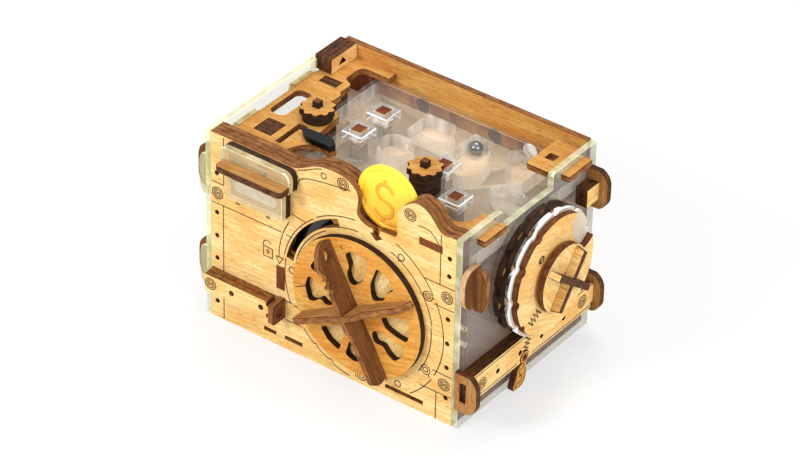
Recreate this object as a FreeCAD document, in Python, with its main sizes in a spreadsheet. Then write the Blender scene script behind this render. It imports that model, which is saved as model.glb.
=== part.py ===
import FreeCAD, Part
import math
import os
from types import SimpleNamespace

import Sketcher

# A coin bank of laser-cut plywood and clear acrylic plates. A wheel on the front carries the coin
# from its slot into the box, a dial and a knob turn on the right, and a ball runs in a maze on top.
# The origin lies on the ground under the middle of the box, with +Z up and the front facing -Y.
# Places are measured from the lower left corner of the front face: x to the right, y back, z up.

DRIVING_SIZES = [
    ("body_width", 130.0, "front wall, left edge to right edge"),
    ("body_depth", 96.4, "front face to back face"),
    ("body_height", 96.4, "ground to the straight top edge of the front"),
    ("ply", 3.0, "plywood sheet"),
    ("acrylic", 3.0, "clear sheet of the sides and the maze cover"),
    ("thin_acrylic", 1.6, "clear sheet over the slider"),
    ("dial_acrylic", 2.5, "clear discs of the dial"),
    ("fit_gap", 0.05, "all round between pieces that are fixed in each other"),
    ("run_gap", 0.1, "round a shaft in its bearing"),
    ("free_gap", 0.3, "between faces that move past each other"),
    ("coin_gap", 0.5, "round the coin in its slot and in the carrier's pocket"),
    ("wheel_right", 48.6, "right edge of the front to the axis of the wheel"),
    ("wheel_z", 41.5, "axis of the front wheel"),
    ("wheel_radius", 34.0, "outer wheel disc"),
    ("hub_radius", 29.5, "hub disc in the round opening of the front panel"),
    ("opening_gap", 0.5, "between hub disc and opening"),
    ("window_reach", 27.5, "how far out the windows of the wheel go"),
    ("spindle_radius", 4.0, "spindle of the wheel"),
    ("retainer_radius", 9.0, "disc that holds the spindle behind the wall"),
    ("fin_height", 10.4, "wheel fins above the wheel face, at the axis"),
    ("fin_reach", 34.0, "wheel axis to the end of a fin"),
    ("long_fin_angle", 118.3, "direction of the long fin, degrees above +X"),
    ("tab_length", 7.0, "tabs of the fins in the wheel disc"),
    ("coin_radius", 15.5, "coin"),
    ("coin_thick", 2.4, "coin at its rim"),
    ("coin_aside", 10.1, "axis of the wheel to the middle of the coin slot"),
    ("carrier_reach", 41.8, "raised rim of the coin carrier, on which the coin rests"),
    ("carrier_radius", 38.0, "lower rim of the coin carrier"),
    ("pocket_angle", 143.5, "middle of the coin pocket, degrees above +X"),
    ("track_inner", 37.0, "curved window in the front panel"),
    ("track_outer", 40.8, "curved window in the front panel"),
    ("track_start", 108.5, "right end of the curved window, degrees above +X"),
    ("track_end", 169.5, "left end of the curved window, degrees above +X"),
    ("left_hump", 6.8, "hump left of the coin above the top edge"),
    ("right_hump", 9.1, "hump right of the coin above the top edge"),
    ("notch_drop", 12.9, "notch round the coin below the top edge"),
    ("pin_hole", 1.15, "radius of the small holes along the panel edges"),
    ("slider_left", 9.5, "left edge of the slider"),
    ("slider_width", 37.8, "wide upper part of the slider, side to side"),
    ("slider_bottom", 71.0, "lower edge of the slider"),
    ("slider_head", 9.8, "wide upper part of the slider, from its top down"),
    ("slider_step", 3.7, "how far the upper part overhangs each side"),
    ("slider_travel", 12.0, "how far the slider moves to the right"),
    ("ledge_z", 87.8, "underside of the slider's ledge"),
    ("ledge_reach", 13.0, "front face to the ledge's front edge"),
    ("pin_radius", 2.6, "pin in the slot of the slider"),
    ("front_beam_z", 17.0, "underside of the beam low on the front"),
    ("front_beam_height", 8.8, "beam low on the front"),
    ("front_beam_length", 34.1, "beam low on the front"),
    ("tongue_recess", 1.6, "front tongues of the beams stop this far inside their keepers"),
    ("side_beam_z", 15.7, "underside of the beam on the right"),
    ("side_beam_height", 13.1, "beam on the right"),
    ("dial_y", 48.2, "axis of the dial"),
    ("dial_z", 59.7, "axis of the dial"),
    ("dial_radius", 29.4, "discs of the dial with a notched rim"),
    ("dial_notch", 1.5, "depth of the notches in those rims"),
    ("dial_base_radius", 29.5, "clear ring behind the dial"),
    ("dial_face_radius", 27.9, "face disc of the dial"),
    ("dial_hub_radius", 6.0, "hollow spindle of the dial"),
    ("knob_radius", 16.0, "small knob on the dial"),
    ("knob_stand_off", 1.7, "dial face to the knob disc"),
    ("knob_spindle_radius", 3.0, "spindle of the knob"),
    ("knob_fin_height", 4.5, "crossed fins on the knob"),
    ("knob_turn", 52.5, "direction of the low fin on the knob, degrees above +Y"),
    ("floor_z", 72.2, "underside of the maze floor"),
    ("maze_wall", 6.8, "clear maze plate between floor and cover"),
    ("ball_radius", 3.15, "steel ball in the maze"),
    ("ball_x", 81.0, "ball at rest"),
    ("ball_y", 81.5, "ball at rest"),
    ("post_width", 5.4, "brown posts standing up through the maze"),
    ("post_top", 90.0, "top of those posts"),
    ("collar_rim", 2.8, "clear collar round each post"),
    ("top_plate_z", 86.5, "underside of the plate at the top left"),
    ("corner_plate_z", 90.0, "underside of the two plates at the top right"),
    ("hook_pin_radius", 1.6, "pin of the black hook"),
    ("tail_pin_radius", 1.1, "pin of the tail lever"),
    ("tail_head_radius", 3.0, "round head of the tail lever"),
    ("gear_radius", 8.0, "toothed thumb wheels"),
    ("gear_top", 95.8, "top face of the thumb wheels"),
    ("gear_pin", 3.4, "square pin of the thumb wheels"),
    ("gear_pin_high", 3.0, "square pins above the thumb wheels"),
]

doc = FreeCAD.newDocument("maze_coin_bank")
sheet = doc.addObject("Spreadsheet::Sheet", "sizes")
for row, (alias, number, note) in enumerate(DRIVING_SIZES, start=1):
    sheet.set(f"A{row}", note)
    sheet.set(f"B{row}", str(number))
    sheet.setAlias(f"B{row}", alias)
doc.recompute()


def formula_of(item):
    """The sheet formula of a size, or the text of a plain number."""
    if isinstance(item, Size):
        return item.formula
    return f"({float(item):.6f})"


def number_of(item):
    """The number of a size, or a plain number as it is."""
    if isinstance(item, Size):
        return item.number
    return float(item)


class Size:
    """A length that carries its number and the sheet formula that gives it."""

    def __init__(self, number, formula):
        self.number = float(number)
        self.formula = formula

    def __float__(self):
        return self.number

    def __add__(self, other):
        return Size(self.number + number_of(other), f"({self.formula} + {formula_of(other)})")

    __radd__ = __add__

    def __sub__(self, other):
        return Size(self.number - number_of(other), f"({self.formula} - {formula_of(other)})")

    def __rsub__(self, other):
        return Size(number_of(other) - self.number, f"({formula_of(other)} - {self.formula})")

    def __mul__(self, other):
        return Size(self.number * number_of(other), f"({self.formula} * {formula_of(other)})")

    __rmul__ = __mul__

    def __truediv__(self, other):
        return Size(self.number / number_of(other), f"({self.formula} / {formula_of(other)})")

    def __neg__(self):
        return Size(-self.number, f"(0 - {self.formula})")


def root(item):
    """Square root of a size times a size."""
    return Size(math.sqrt(item.number), f"sqrt({item.formula})")


size = SimpleNamespace(**{
    alias: Size(sheet.get(alias), "sizes." + alias) for alias, number, note in DRIVING_SIZES
})


# Outlines: a loop is a circle, or a start point with steps by line, arc or smooth curve

def line_to(x, y):
    return ("line", (x, y))


def arc_to(middle, end):
    return ("arc", middle, end)


def curve_to(*points):
    return ("curve", points)


def loop(start, *steps):
    return ("loop", start, steps)


def circle(x, y, radius):
    return ("circle", (x, y), radius)


def polygon(*points):
    return loop(points[0], *[line_to(*point) for point in points[1:]], line_to(*points[0]))


def rectangle(left, bottom, right, top):
    return polygon((left, bottom), (right, bottom), (right, top), (left, top))


def rounded(left, bottom, right, top, corner):
    """A rectangle whose four corners are quarter circles."""
    near = corner * (1 - math.sqrt(0.5))
    return loop(
        (left + corner, bottom),
        line_to(right - corner, bottom),
        arc_to((right - near, bottom + near), (right, bottom + corner)),
        line_to(right, top - corner),
        arc_to((right - near, top - near), (right - corner, top)),
        line_to(left + corner, top),
        arc_to((left + near, top - near), (left, top - corner)),
        line_to(left, bottom + corner),
        arc_to((left + near, bottom + near), (left + corner, bottom)),
    )


def polar(radius, angle, about=(0, 0)):
    """Point at a radius and an angle in degrees about a centre."""
    turn = math.radians(float(angle))
    return (about[0] + radius * math.cos(turn), about[1] + radius * math.sin(turn))


def lobed(count, low, high, share=0.62, start=0.0):
    """A rim of count rounded lobes that rise from the low to the high radius."""
    pitch = 360.0 / count
    steps = []
    for tooth in range(count):
        begin = start + tooth * pitch
        rise_end = begin + pitch * share
        steps.append(arc_to(polar(high, begin + pitch * share / 2), polar(low, rise_end)))
        valley = low - (high - low) * 0.35
        steps.append(arc_to(polar(valley, (rise_end + begin + pitch) / 2), polar(low, begin + pitch)))
    return loop(polar(low, start), *steps)


def toward(corner, other, reach):
    """The point on the way from a corner to another at a reach from the corner."""
    share = reach / math.dist([float(value) for value in corner], [float(value) for value in other])
    return tuple(here + (there - here) * share for here, there in zip(corner, other))


def softened(points, cut):
    """A closed loop through corners, each rounded by an arc that starts a cut away from it on both sides."""
    starts = []
    steps = []
    for index, corner in enumerate(points):
        before = points[index - 1]
        after = points[(index + 1) % len(points)]
        here, back, ahead = [[float(value) for value in point] for point in (corner, before, after)]
        reach = min(cut, 0.45 * math.dist(here, back), 0.45 * math.dist(here, ahead))
        begin = toward(corner, before, reach)
        end = toward(corner, after, reach)
        leave = math.atan2(ahead[1] - here[1], ahead[0] - here[0])
        come = math.atan2(back[1] - here[1], back[0] - here[0])
        half = abs(math.remainder(leave - come, math.tau)) / 2
        bulge = 1 / (2 + 2 * math.sin(half))
        middle = tuple(c + (b - c + e - c) * bulge for c, b, e in zip(corner, begin, end))
        starts.append(begin)
        steps.append(line_to(*begin))
        steps.append(arc_to(middle, end))
    return loop(steps[-1][2], *steps)


def spot(point):
    return FreeCAD.Vector(number_of(point[0]), number_of(point[1]), 0)


def same_spot(one, other):
    return math.hypot(one.x - other.x, one.y - other.y) < 1e-6


def bind_point(sketch, geometry, end, point):
    """Tie a point of the sketch to the sheet where its place is a size."""
    for kind, coordinate in zip(("DistanceX", "DistanceY"), point):
        if isinstance(coordinate, Size) and abs(coordinate.number) > 1e-6:
            tie = Sketcher.Constraint(kind, -1, 1, geometry, end, coordinate.number)
            index = sketch.addConstraint(tie)
            sketch.setExpression(f"Constraints[{index}]", coordinate.formula)


def draw_circle(sketch, centre, radius):
    ring = Part.Circle(spot(centre), FreeCAD.Vector(0, 0, 1), number_of(radius))
    geometry = sketch.addGeometry(ring, False)
    bind_point(sketch, geometry, 3, centre)
    if isinstance(radius, Size):
        index = sketch.addConstraint(Sketcher.Constraint("Radius", geometry, radius.number))
        sketch.setExpression(f"Constraints[{index}]", radius.formula)


def draw_loop(sketch, start, steps):
    """Draw a closed loop, join its edges and tie its corners to the sheet."""
    starts = []
    ends = []
    here = start
    for kind, *points in steps:
        if kind == "line":
            there = points[0]
            curve = Part.LineSegment(spot(here), spot(there))
        elif kind == "arc":
            there = points[1]
            curve = Part.Arc(spot(here), spot(points[0]), spot(there))
        else:
            there = points[0][-1]
            curve = Part.BSplineCurve()
            curve.interpolate([spot(here)] + [spot(point) for point in points[0]])
        geometry = sketch.addGeometry(curve, False)
        forward = same_spot(sketch.getPoint(geometry, 1), spot(here))
        starts.append((geometry, 1 if forward else 2, here))
        ends.append((geometry, 2 if forward else 1))
        here = there
    joints = []
    for (geometry, end), (following, begin, place) in zip(ends, starts[1:] + starts[:1]):
        joints.append(Sketcher.Constraint("Coincident", geometry, end, following, begin))
    sketch.addConstraint(joints)
    for geometry, end, place in starts:
        bind_point(sketch, geometry, end, place)


def draw(sketch, loops):
    for kind, first, second in loops:
        if kind == "circle":
            draw_circle(sketch, first, second)
        else:
            draw_loop(sketch, first, second)


# Bodies: each node is one body, or one compound of alike pieces

PLANES = {"front": "XZ_Plane", "side": "YZ_Plane", "level": "XY_Plane"}
nodes = []


def name_node(thing, label):
    thing.Label = label
    nodes.append(thing)
    return thing


def place(thing, x, y, z, rotation=None):
    """Put a thing at a place measured from the lower left corner of the front face."""
    if rotation is not None:
        thing.Placement = FreeCAD.Placement(FreeCAD.Vector(), rotation)
    centred = (x - size.body_width / 2, y - size.body_depth / 2, z)
    for axis, coordinate in zip("xyz", centred):
        thing.setExpression(f"Placement.Base.{axis}", formula_of(coordinate))
    return thing


def drawn_on(body, name, facing, loops):
    """A sketch on one of the body's planes."""
    sketch = body.newObject("Sketcher::SketchObject", name)
    plane = next(part for part in body.Origin.OriginFeatures if part.Role == PLANES[facing])
    sketch.AttachmentSupport = [(plane, "")]
    sketch.MapMode = "FlatFace"
    draw(sketch, loops)
    return sketch


def cut_plate(label, facing, loops, thickness, windows=()):
    """A body padded from one sketch, whose first loop is its edge, with a pocket for each window."""
    body = doc.addObject("PartDesign::Body", label)
    pad = body.newObject("PartDesign::Pad", label + "_sheet")
    pad.Profile = drawn_on(body, label + "_outline", facing, loops)
    pad.setExpression("Length", formula_of(thickness))
    body.Tip = pad
    for number, window in enumerate(windows, start=1):
        pocket = body.newObject("PartDesign::Pocket", f"{label}_window_{number}")
        pocket.Profile = drawn_on(body, f"{label}_window_outline_{number}", facing, [window])
        pocket.Reversed = True
        pocket.setExpression("Length", formula_of(thickness))
        body.Tip = pocket
    return body


def piece(label, facing, at, loops, thickness=size.ply, centre=(0, 0), windows=()):
    """A flat plate that faces the front, a side or up, and starts at a place along that direction.

    Its outline is measured about centre.
    """
    body = cut_plate(label, facing, loops, thickness, windows)
    if facing == "front":
        return place(body, centre[0], at + thickness, centre[1])
    if facing == "side":
        return place(body, at, centre[0], centre[1])
    return place(body, centre[0], centre[1], at)


def plate(label, *form, **options):
    """A flat plate that is a node by itself."""
    return name_node(piece(label, *form, **options), label)


def block(left, front, bottom, right, back, top):
    """A box between two corners."""
    thing = doc.addObject("Part::Box", "block")
    thing.setExpression("Length", formula_of(right - left))
    thing.setExpression("Width", formula_of(back - front))
    thing.setExpression("Height", formula_of(top - bottom))
    return place(thing, left, front, bottom)


def group(label, things):
    """One node of several alike pieces."""
    whole = doc.addObject("Part::Compound", label)
    whole.Links = things
    return name_node(whole, label)


def cut_block(outer, inner):
    """A block with another taken out of it."""
    result = doc.addObject("Part::Cut", "collar")
    result.Base = outer
    result.Tool = inner
    return result


def disc(label, facing, at, length, radius, centre, bore=None):
    """A round disc or shaft along y, x or z, with or without a bore."""
    loops = [circle(0, 0, radius)]
    if bore is not None:
        loops.append(circle(0, 0, bore))
    return piece(label, facing, at, loops, thickness=length, centre=centre)


def cylinder(centre, bottom, top, radius):
    """An upright cylinder between two heights."""
    thing = doc.addObject("Part::Cylinder", "cylinder")
    thing.setExpression("Radius", formula_of(radius))
    thing.setExpression("Height", formula_of(top - bottom))
    return place(thing, centre[0], centre[1], bottom)


def fused(label, things):
    """One solid of several that touch."""
    whole = doc.addObject("Part::MultiFuse", label)
    whole.Shapes = things
    return whole


# Places that several pieces share

width = size.body_width
depth = size.body_depth
height = size.body_height
ply = size.ply
second_layer = ply
third_layer = 2 * ply
wall_back = 3 * ply
right_face = width + size.acrylic
wheel_x = width - size.wheel_right
coin_x = wheel_x + size.coin_aside
wheel_centre = (wheel_x, size.wheel_z)
dial_centre = (size.dial_y, size.dial_z)
floor_top = size.floor_z + ply
maze_top = floor_top + size.maze_wall
cover_top = maze_top + size.acrylic
plate_top = size.top_plate_z + ply
back_face = depth - ply

coin_rest = size.carrier_reach + size.free_gap + size.coin_radius
coin_z = size.wheel_z + root(coin_rest * coin_rest - size.coin_aside * size.coin_aside)
channel_half = size.coin_radius + size.coin_gap
carrier_front = second_layer + size.free_gap
LOAD_TURN = 63.5
DROP_TURN = 60.0
RIM_START = 8.0
RIM_END = 175.0
hole_reach = size.carrier_reach + size.free_gap
hole_radius = size.carrier_radius + size.free_gap


# Front wall: three plywood layers with the same humped top edge

def right_hump_steps(last_points):
    """Steps up the hump right of the coin, coming from the right corner."""
    middle = coin_x
    rise = size.right_hump
    first_points = (
        (middle + 30.9, height),
        (middle + 26.5, height + rise * 0.5),
        (middle + 21.6, height + rise * 0.93),
    )
    return [line_to(middle + 35, height), curve_to(*first_points, *last_points)]


def left_hump_steps(first_points):
    """Steps down the hump left of the coin to the left corner."""
    middle = coin_x
    rise = size.left_hump
    last_points = (
        (middle - 22.6, height + rise),
        (middle - 29.0, height + rise),
        (middle - 33.8, height + rise * 0.87),
        (middle - 39.5, height + rise * 0.45),
        (middle - 46.5, height),
    )
    return [curve_to(*first_points, *last_points), line_to(0, height)]


def notch_steps():
    """Steps round the notch that shows the coin, with the small arrow under it."""
    middle = coin_x
    low = height - size.notch_drop
    return [
        line_to(middle + 7.9, height - 9.1),
        arc_to((middle + 7.4, low + 1.2), (middle + 5.6, low + 0.9)),
        line_to(middle - 1.0, low + 0.4),
        line_to(middle - 1.3, low - 2.4),
        line_to(middle + 0.6, low - 3.3),
        line_to(middle - 2.9, low - 5.6),
        line_to(middle - 6.0, low - 2.6),
        line_to(middle - 4.4, low - 2.2),
        line_to(middle - 4.6, low),
        arc_to((middle - 11.0, low + 1.6), (middle - 13.1, height - 8.8)),
        line_to(middle - 12.4, height - 1.6),
    ]


def notched_outline():
    """Edge of the front and third layers: two humps with the notch between them."""
    middle = coin_x
    right_end = (
        (middle + 16.9, height + size.right_hump),
        (middle + 13.9, height + size.right_hump * 0.82),
        (middle + 10.2, height + size.right_hump * 0.46),
        (middle + 8.0, height - 1.3),
    )
    left_start = (
        (middle - 14.1, height + size.left_hump * 0.4),
        (middle - 17.7, height + size.left_hump * 0.8),
    )
    top = right_hump_steps(right_end) + notch_steps() + left_hump_steps(left_start)
    return loop((0, 0), line_to(width, 0), line_to(width, height), *top, line_to(0, 0))


def around(radius, angle):
    """A point about the wheel axis."""
    return polar(radius, angle, wheel_centre)


def room_height(aside):
    """Height of the carrier room's rim at a distance to the right of the wheel axis."""
    return size.wheel_z + root(hole_reach * hole_reach - aside * aside)


def channelled_outline():
    """Edge of the second layer: the coin slot runs down into the room that the carrier turns in."""
    slot_right = coin_x + channel_half
    slot_left = coin_x - channel_half
    floor_right = room_height(size.coin_aside + channel_half)
    floor_left = room_height(size.coin_aside - channel_half)
    angle_right = math.degrees(math.acos(float(size.coin_aside + channel_half) / float(hole_reach)))
    angle_left = math.degrees(math.acos(float(size.coin_aside - channel_half) / float(hole_reach)))
    low_right = RIM_START - LOAD_TURN - 1.0
    low_left = RIM_END + DROP_TURN + 1.0 - 360.0
    return loop(
        (0, 0),
        line_to(width, 0),
        line_to(width, height),
        *right_hump_steps([(slot_right, height + size.right_hump * 0.99)]),
        line_to(slot_right, floor_right),
        arc_to(around(hole_reach, (angle_right + low_right) / 2), around(hole_reach, low_right)),
        line_to(*around(hole_radius, low_right)),
        arc_to(around(hole_radius, (low_right + low_left) / 2), around(hole_radius, low_left)),
        line_to(*around(hole_reach, low_left)),
        arc_to(around(hole_reach, (low_left + 360 + angle_left) / 2), (slot_left, floor_left)),
        line_to(slot_left, height + size.left_hump * 0.7),
        *left_hump_steps([]),
        line_to(0, 0),
    )


def edge_holes():
    """Small holes down the two side edges of the front."""
    left_heights = (8.6, 31.6, 43.5, 55.6, 76.0)
    right_heights = (13.5, 29.5, 42.0, 54.5, 76.5, 85.5)
    left = [circle(3.3, z, size.pin_hole) for z in left_heights]
    right = [circle(width - 3.3, z, size.pin_hole) for z in right_heights]
    return left + right


def track(inner, outer, start, end):
    """A curved window about the wheel axis."""
    middle = (float(start) + float(end)) / 2
    return loop(
        polar(inner, start, wheel_centre),
        line_to(*polar(outer, start, wheel_centre)),
        arc_to(polar(outer, middle, wheel_centre), polar(outer, end, wheel_centre)),
        line_to(*polar(inner, end, wheel_centre)),
        arc_to(polar(inner, middle, wheel_centre), polar(inner, start, wheel_centre)),
    )


def front_slots():
    """Slots low on the front, and the two joints that the front shows."""
    return [
        rectangle(29.1, 4.9, 35.9, 6.8),
        rectangle(40.6, 4.9, 50.3, 6.9),
        rectangle(wheel_x + 13.6, 4.3, wheel_x + 33.6, 6.3),
    ]


tongue_width = 10.0
tongue_left = size.slider_left + (size.slider_width - tongue_width) / 2
ledge_top = size.ledge_z + ply
key_margin = 3.3
slider_pin_centre = (size.slider_left + 26.5, size.slider_bottom + 5.5)
lock_tenon = (wheel_x - 45.5, 30.3, wheel_x - 41.0, 42.3)
hump_tenon = (width - 19.0, 86.3, width - 7.1, 89.9)


def grown(box, gap):
    """A rectangle made larger by a gap all round."""
    left, bottom, right, top = box
    return rectangle(left - gap, bottom - gap, right + gap, top + gap)


key_slot = rectangle(
    tongue_left - size.free_gap,
    size.ledge_z - size.free_gap,
    tongue_left + tongue_width + size.slider_travel + size.free_gap,
    ledge_top + size.free_gap,
)
pin_seat = circle(*slider_pin_centre, size.pin_radius + size.fit_gap)
plate("front_panel", "front", 0, [
    notched_outline(),
    circle(*wheel_centre, size.hub_radius + size.opening_gap),
    track(size.track_inner, size.track_outer, size.track_start, size.track_end),
    key_slot,
    pin_seat,
    grown(lock_tenon, size.fit_gap),
    grown(hump_tenon, size.fit_gap),
] + edge_holes() + front_slots())


key_left = tongue_left - key_margin
key_width = tongue_width + 2 * key_margin
slider_room = rectangle(
    key_left - size.free_gap,
    size.ledge_z - key_margin - size.free_gap,
    key_left + key_width + size.slider_travel + size.free_gap,
    ledge_top + key_margin + size.free_gap,
)
plate("second_front_panel", "front", second_layer, [
    channelled_outline(),
    slider_room,
    pin_seat,
] + edge_holes())

drop_angle = float(size.pocket_angle) + DROP_TURN
pocket_depth = size.carrier_reach - size.coin_radius - size.free_gap
drop_spot = around(pocket_depth, drop_angle)
strip_inner = size.track_inner - 1.0
strip_outer = size.track_outer + 1.0
strip_start = size.track_start + 4.0
strip_end = size.track_end + 4.0
plate("third_front_panel", "front", third_layer, [
    notched_outline(),
    circle(*wheel_centre, size.spindle_radius + size.run_gap),
    circle(*drop_spot, channel_half + size.free_gap),
    track(strip_inner - size.fit_gap, strip_outer + size.fit_gap, strip_start, strip_end),
    pin_seat,
] + edge_holes())
plate("track_backing", "front", third_layer, [
    track(strip_inner, strip_outer, strip_start + 0.15, strip_end - 0.15),
])
group("front_tenons", [
    piece("lock_tenon", "front", 0, [rectangle(*lock_tenon)]),
    piece("hump_tenon", "front", 0, [rectangle(*hump_tenon)]),
])


# Coin: a disc with a raised rim and a raised sign on the face

def make_coin():
    body = doc.addObject("PartDesign::Body", "coin")
    half = size.coin_thick / 2
    rim = 1.3
    field = half - 0.35
    sketch = body.newObject("Sketcher::SketchObject", "coin_section")
    plane = next(part for part in body.Origin.OriginFeatures if part.Role == "XY_Plane")
    sketch.AttachmentSupport = [(plane, "")]
    sketch.MapMode = "FlatFace"
    edge = size.coin_radius
    draw(sketch, [polygon(
        (0, -field),
        (edge - rim, -field),
        (edge - rim * 0.8, -half),
        (edge - 0.25, -half),
        (edge, -half + 0.25),
        (edge, half - 0.25),
        (edge - 0.25, half),
        (edge - rim * 0.8, half),
        (edge - rim, field),
        (0, field),
    )])
    turned = body.newObject("PartDesign::Revolution", "coin_disc")
    turned.Profile = sketch
    turned.ReferenceAxis = (sketch, ["V_Axis"])
    turned.Angle = 360.0
    body.Tip = turned
    name_node(body, "coin")
    place(body, coin_x, carrier_front + half, coin_z)


make_coin()


# Wheel: outer disc, hub disc and fins in front, coin carrier and spindle behind

WHEEL_WINDOWS = [
    [(1.02, 98), (0.96, 104), (0.74, 101), (0.63, 108), (0.47, 107.5), (0.41, 98), (0.58, 78.5), (0.95, 76),
     (1.03, 82)],
    [(1.0, 68), (0.64, 66), (0.5, 57), (0.44, 44), (0.5, 39.5), (0.67, 36.5), (0.76, 44), (0.97, 42.5),
     (1.02, 56)],
    [(0.47, 5), (0.58, -12), (0.8, -13.5), (1.0, -12), (1.03, 0), (1.0, 13), (0.68, 12)],
    [(0.42, -42), (0.51, -51.5), (0.62, -52.5), (0.7, -42), (0.86, -44), (1.0, -42), (1.03, -32), (0.98, -20),
     (0.52, -26)],
    [(0.6, -99), (0.98, -102), (1.02, -92), (0.98, -80), (0.62, -84)],
    [(0.95, -137), (1.0, -123), (1.0, -109), (0.64, -110), (0.5, -119)],
    [(0.96, 167), (1.0, 180), (0.96, -165), (0.84, -164.5), (0.7, -171), (0.62, -161.5), (0.46, -163.5),
     (0.5, -178), (0.66, 169)],
    [(1.0, 141), (0.99, 157), (0.62, 155), (0.56, 143), (0.78, 138)],
]
WINDOW_CORNER = 1.6


def wheel_windows():
    """Openings of the wheel disc, each given by corners in shares of the reach and degrees."""
    windows = []
    for corners in WHEEL_WINDOWS:
        points = [polar(size.window_reach * share, angle) for share, angle in corners]
        windows.append(softened(points, WINDOW_CORNER))
    return windows


LEFT_TAB = -20.0
RIGHT_TAB = 13.0
cross_fin_angle = size.long_fin_angle - 90


def tab_slots():
    """Slots in the wheel disc for the tabs of both fins."""
    half = float(ply / 2 + size.fit_gap)
    gap = float(size.fit_gap)
    slots = []
    for angle in (float(size.long_fin_angle), float(cross_fin_angle)):
        for start in (LEFT_TAB, RIGHT_TAB):
            end = start + size.tab_length.number
            corners = [(start - gap, -half), (end + gap, -half), (end + gap, half), (start - gap, half)]
            turned = []
            for along, across in corners:
                reach = math.hypot(along, across)
                bearing = angle + math.degrees(math.atan2(across, along))
                turned.append(polar(reach, bearing))
            slots.append(polygon(*turned))
    return slots


disc_front = -(ply + size.free_gap)
hub_front = disc_front + ply
hub_back = hub_front + ply
plate("wheel_disc", "front", disc_front, [circle(0, 0, size.wheel_radius)] + tab_slots(), centre=wheel_centre,
      windows=wheel_windows())
spindle_bore = circle(0, 0, size.spindle_radius + size.fit_gap)
plate("wheel_hub_disc", "front", hub_front, [circle(0, 0, size.hub_radius), spindle_bore],
      centre=wheel_centre)


def carrier_outline():
    """The carrier's rim, high under the coin slot and low elsewhere, with the coin's pocket cut into it."""
    high = size.carrier_reach
    low = size.carrier_radius
    opening = math.degrees(math.asin(float(channel_half / high)))
    middle = float(size.pocket_angle)
    seat = polar(pocket_depth, middle)
    left_wall = polar(channel_half, middle + 90, seat)
    right_wall = polar(channel_half, middle - 90, seat)
    bottom = polar(channel_half, middle + 180, seat)
    return loop(
        polar(high, RIM_START),
        arc_to(polar(high, (RIM_START + middle - opening) / 2), polar(high, middle - opening)),
        line_to(*right_wall),
        arc_to(bottom, left_wall),
        line_to(*polar(high, middle + opening)),
        arc_to(polar(high, (RIM_END + middle + opening) / 2), polar(high, RIM_END)),
        line_to(*polar(low, RIM_END)),
        arc_to(polar(low, (RIM_END + RIM_START + 360) / 2), polar(low, RIM_START)),
        line_to(*polar(high, RIM_START)),
    )


carrier_thick = ply - 2 * size.free_gap
plate("coin_carrier", "front", carrier_front, [carrier_outline(), spindle_bore], thickness=carrier_thick,
      centre=wheel_centre)
retainer_front = wall_back + size.free_gap
plate("wheel_spindle", "front", hub_front, [circle(0, 0, size.spindle_radius)],
      thickness=retainer_front + ply - hub_front, centre=wheel_centre)
washer_bore = size.spindle_radius + size.fit_gap
group("wheel_washers", [
    disc("front_washer", "front", hub_back, carrier_front - hub_back, size.retainer_radius, wheel_centre,
         washer_bore),
    disc("back_washer", "front", retainer_front, ply, size.retainer_radius, wheel_centre, washer_bore),
])


def fin(label, angle, *loops):
    """A fin drawn along +X with its height toward +Y, stood on the wheel face at an angle."""
    body = name_node(cut_plate(label, "level", loops, ply), label)
    upright = FreeCAD.Rotation(FreeCAD.Vector(1, 0, 0), 180)
    swing = FreeCAD.Rotation(FreeCAD.Vector(0, -1, 0), float(angle))
    turn = swing.multiply(upright)
    shift = swing.multVec(FreeCAD.Vector(0, 0, 0.5))
    x = wheel_x + ply * shift.x
    z = size.wheel_z + ply * shift.z
    return place(body, x, disc_front, z, turn)


def tab_steps(start):
    """Steps round one tab of a fin, through the wheel disc, from right to left."""
    end = start + size.tab_length
    return [line_to(end, 0), line_to(end, -ply), line_to(start, -ply), line_to(start, 0)]


fin_high = size.fin_height
fin_end = size.fin_reach
lap = ply / 2 + size.fit_gap
long_fin = loop(
    (-fin_end + 2, 0),
    curve_to((-fin_end + 0.4, fin_high * 0.3), (-fin_end + 0.6, fin_high * 0.65),
             (-fin_end + 3, fin_high - 1.3)),
    line_to(-8.5, fin_high - 1.1),
    line_to(-6.8, fin_high),
    line_to(-lap, fin_high),
    line_to(-lap, fin_high / 2),
    line_to(lap, fin_high / 2),
    line_to(lap, fin_high),
    line_to(12, fin_high - 0.1),
    curve_to((13.7, fin_high - 1.1), (15.2, fin_high + 0.9), (16.9, fin_high - 1.1), (18.6, fin_high + 0.7)),
    curve_to((20.4, fin_high - 0.4), (22.2, fin_high + 0.9), (25.4, fin_high + 1.7), (28.4, fin_high),
             (30.8, fin_high - 1.5), (fin_end - 0.9, fin_high - 4.2), (fin_end, fin_high * 0.3)),
    line_to(fin_end - 1, 0),
    *tab_steps(RIGHT_TAB),
    *tab_steps(LEFT_TAB),
    line_to(-fin_end + 2, 0),
)
fin_eye = softened([
    (24.4, fin_high * 0.42),
    (25.0, fin_high * 0.6),
    (27.6, fin_high * 0.66),
    (29.0, fin_high * 0.54),
    (31.3, fin_high * 0.56),
    (30.4, fin_high * 0.36),
    (27.2, fin_high * 0.23),
], 0.9)
fin("wheel_long_fin", size.long_fin_angle, long_fin, fin_eye)

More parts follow.
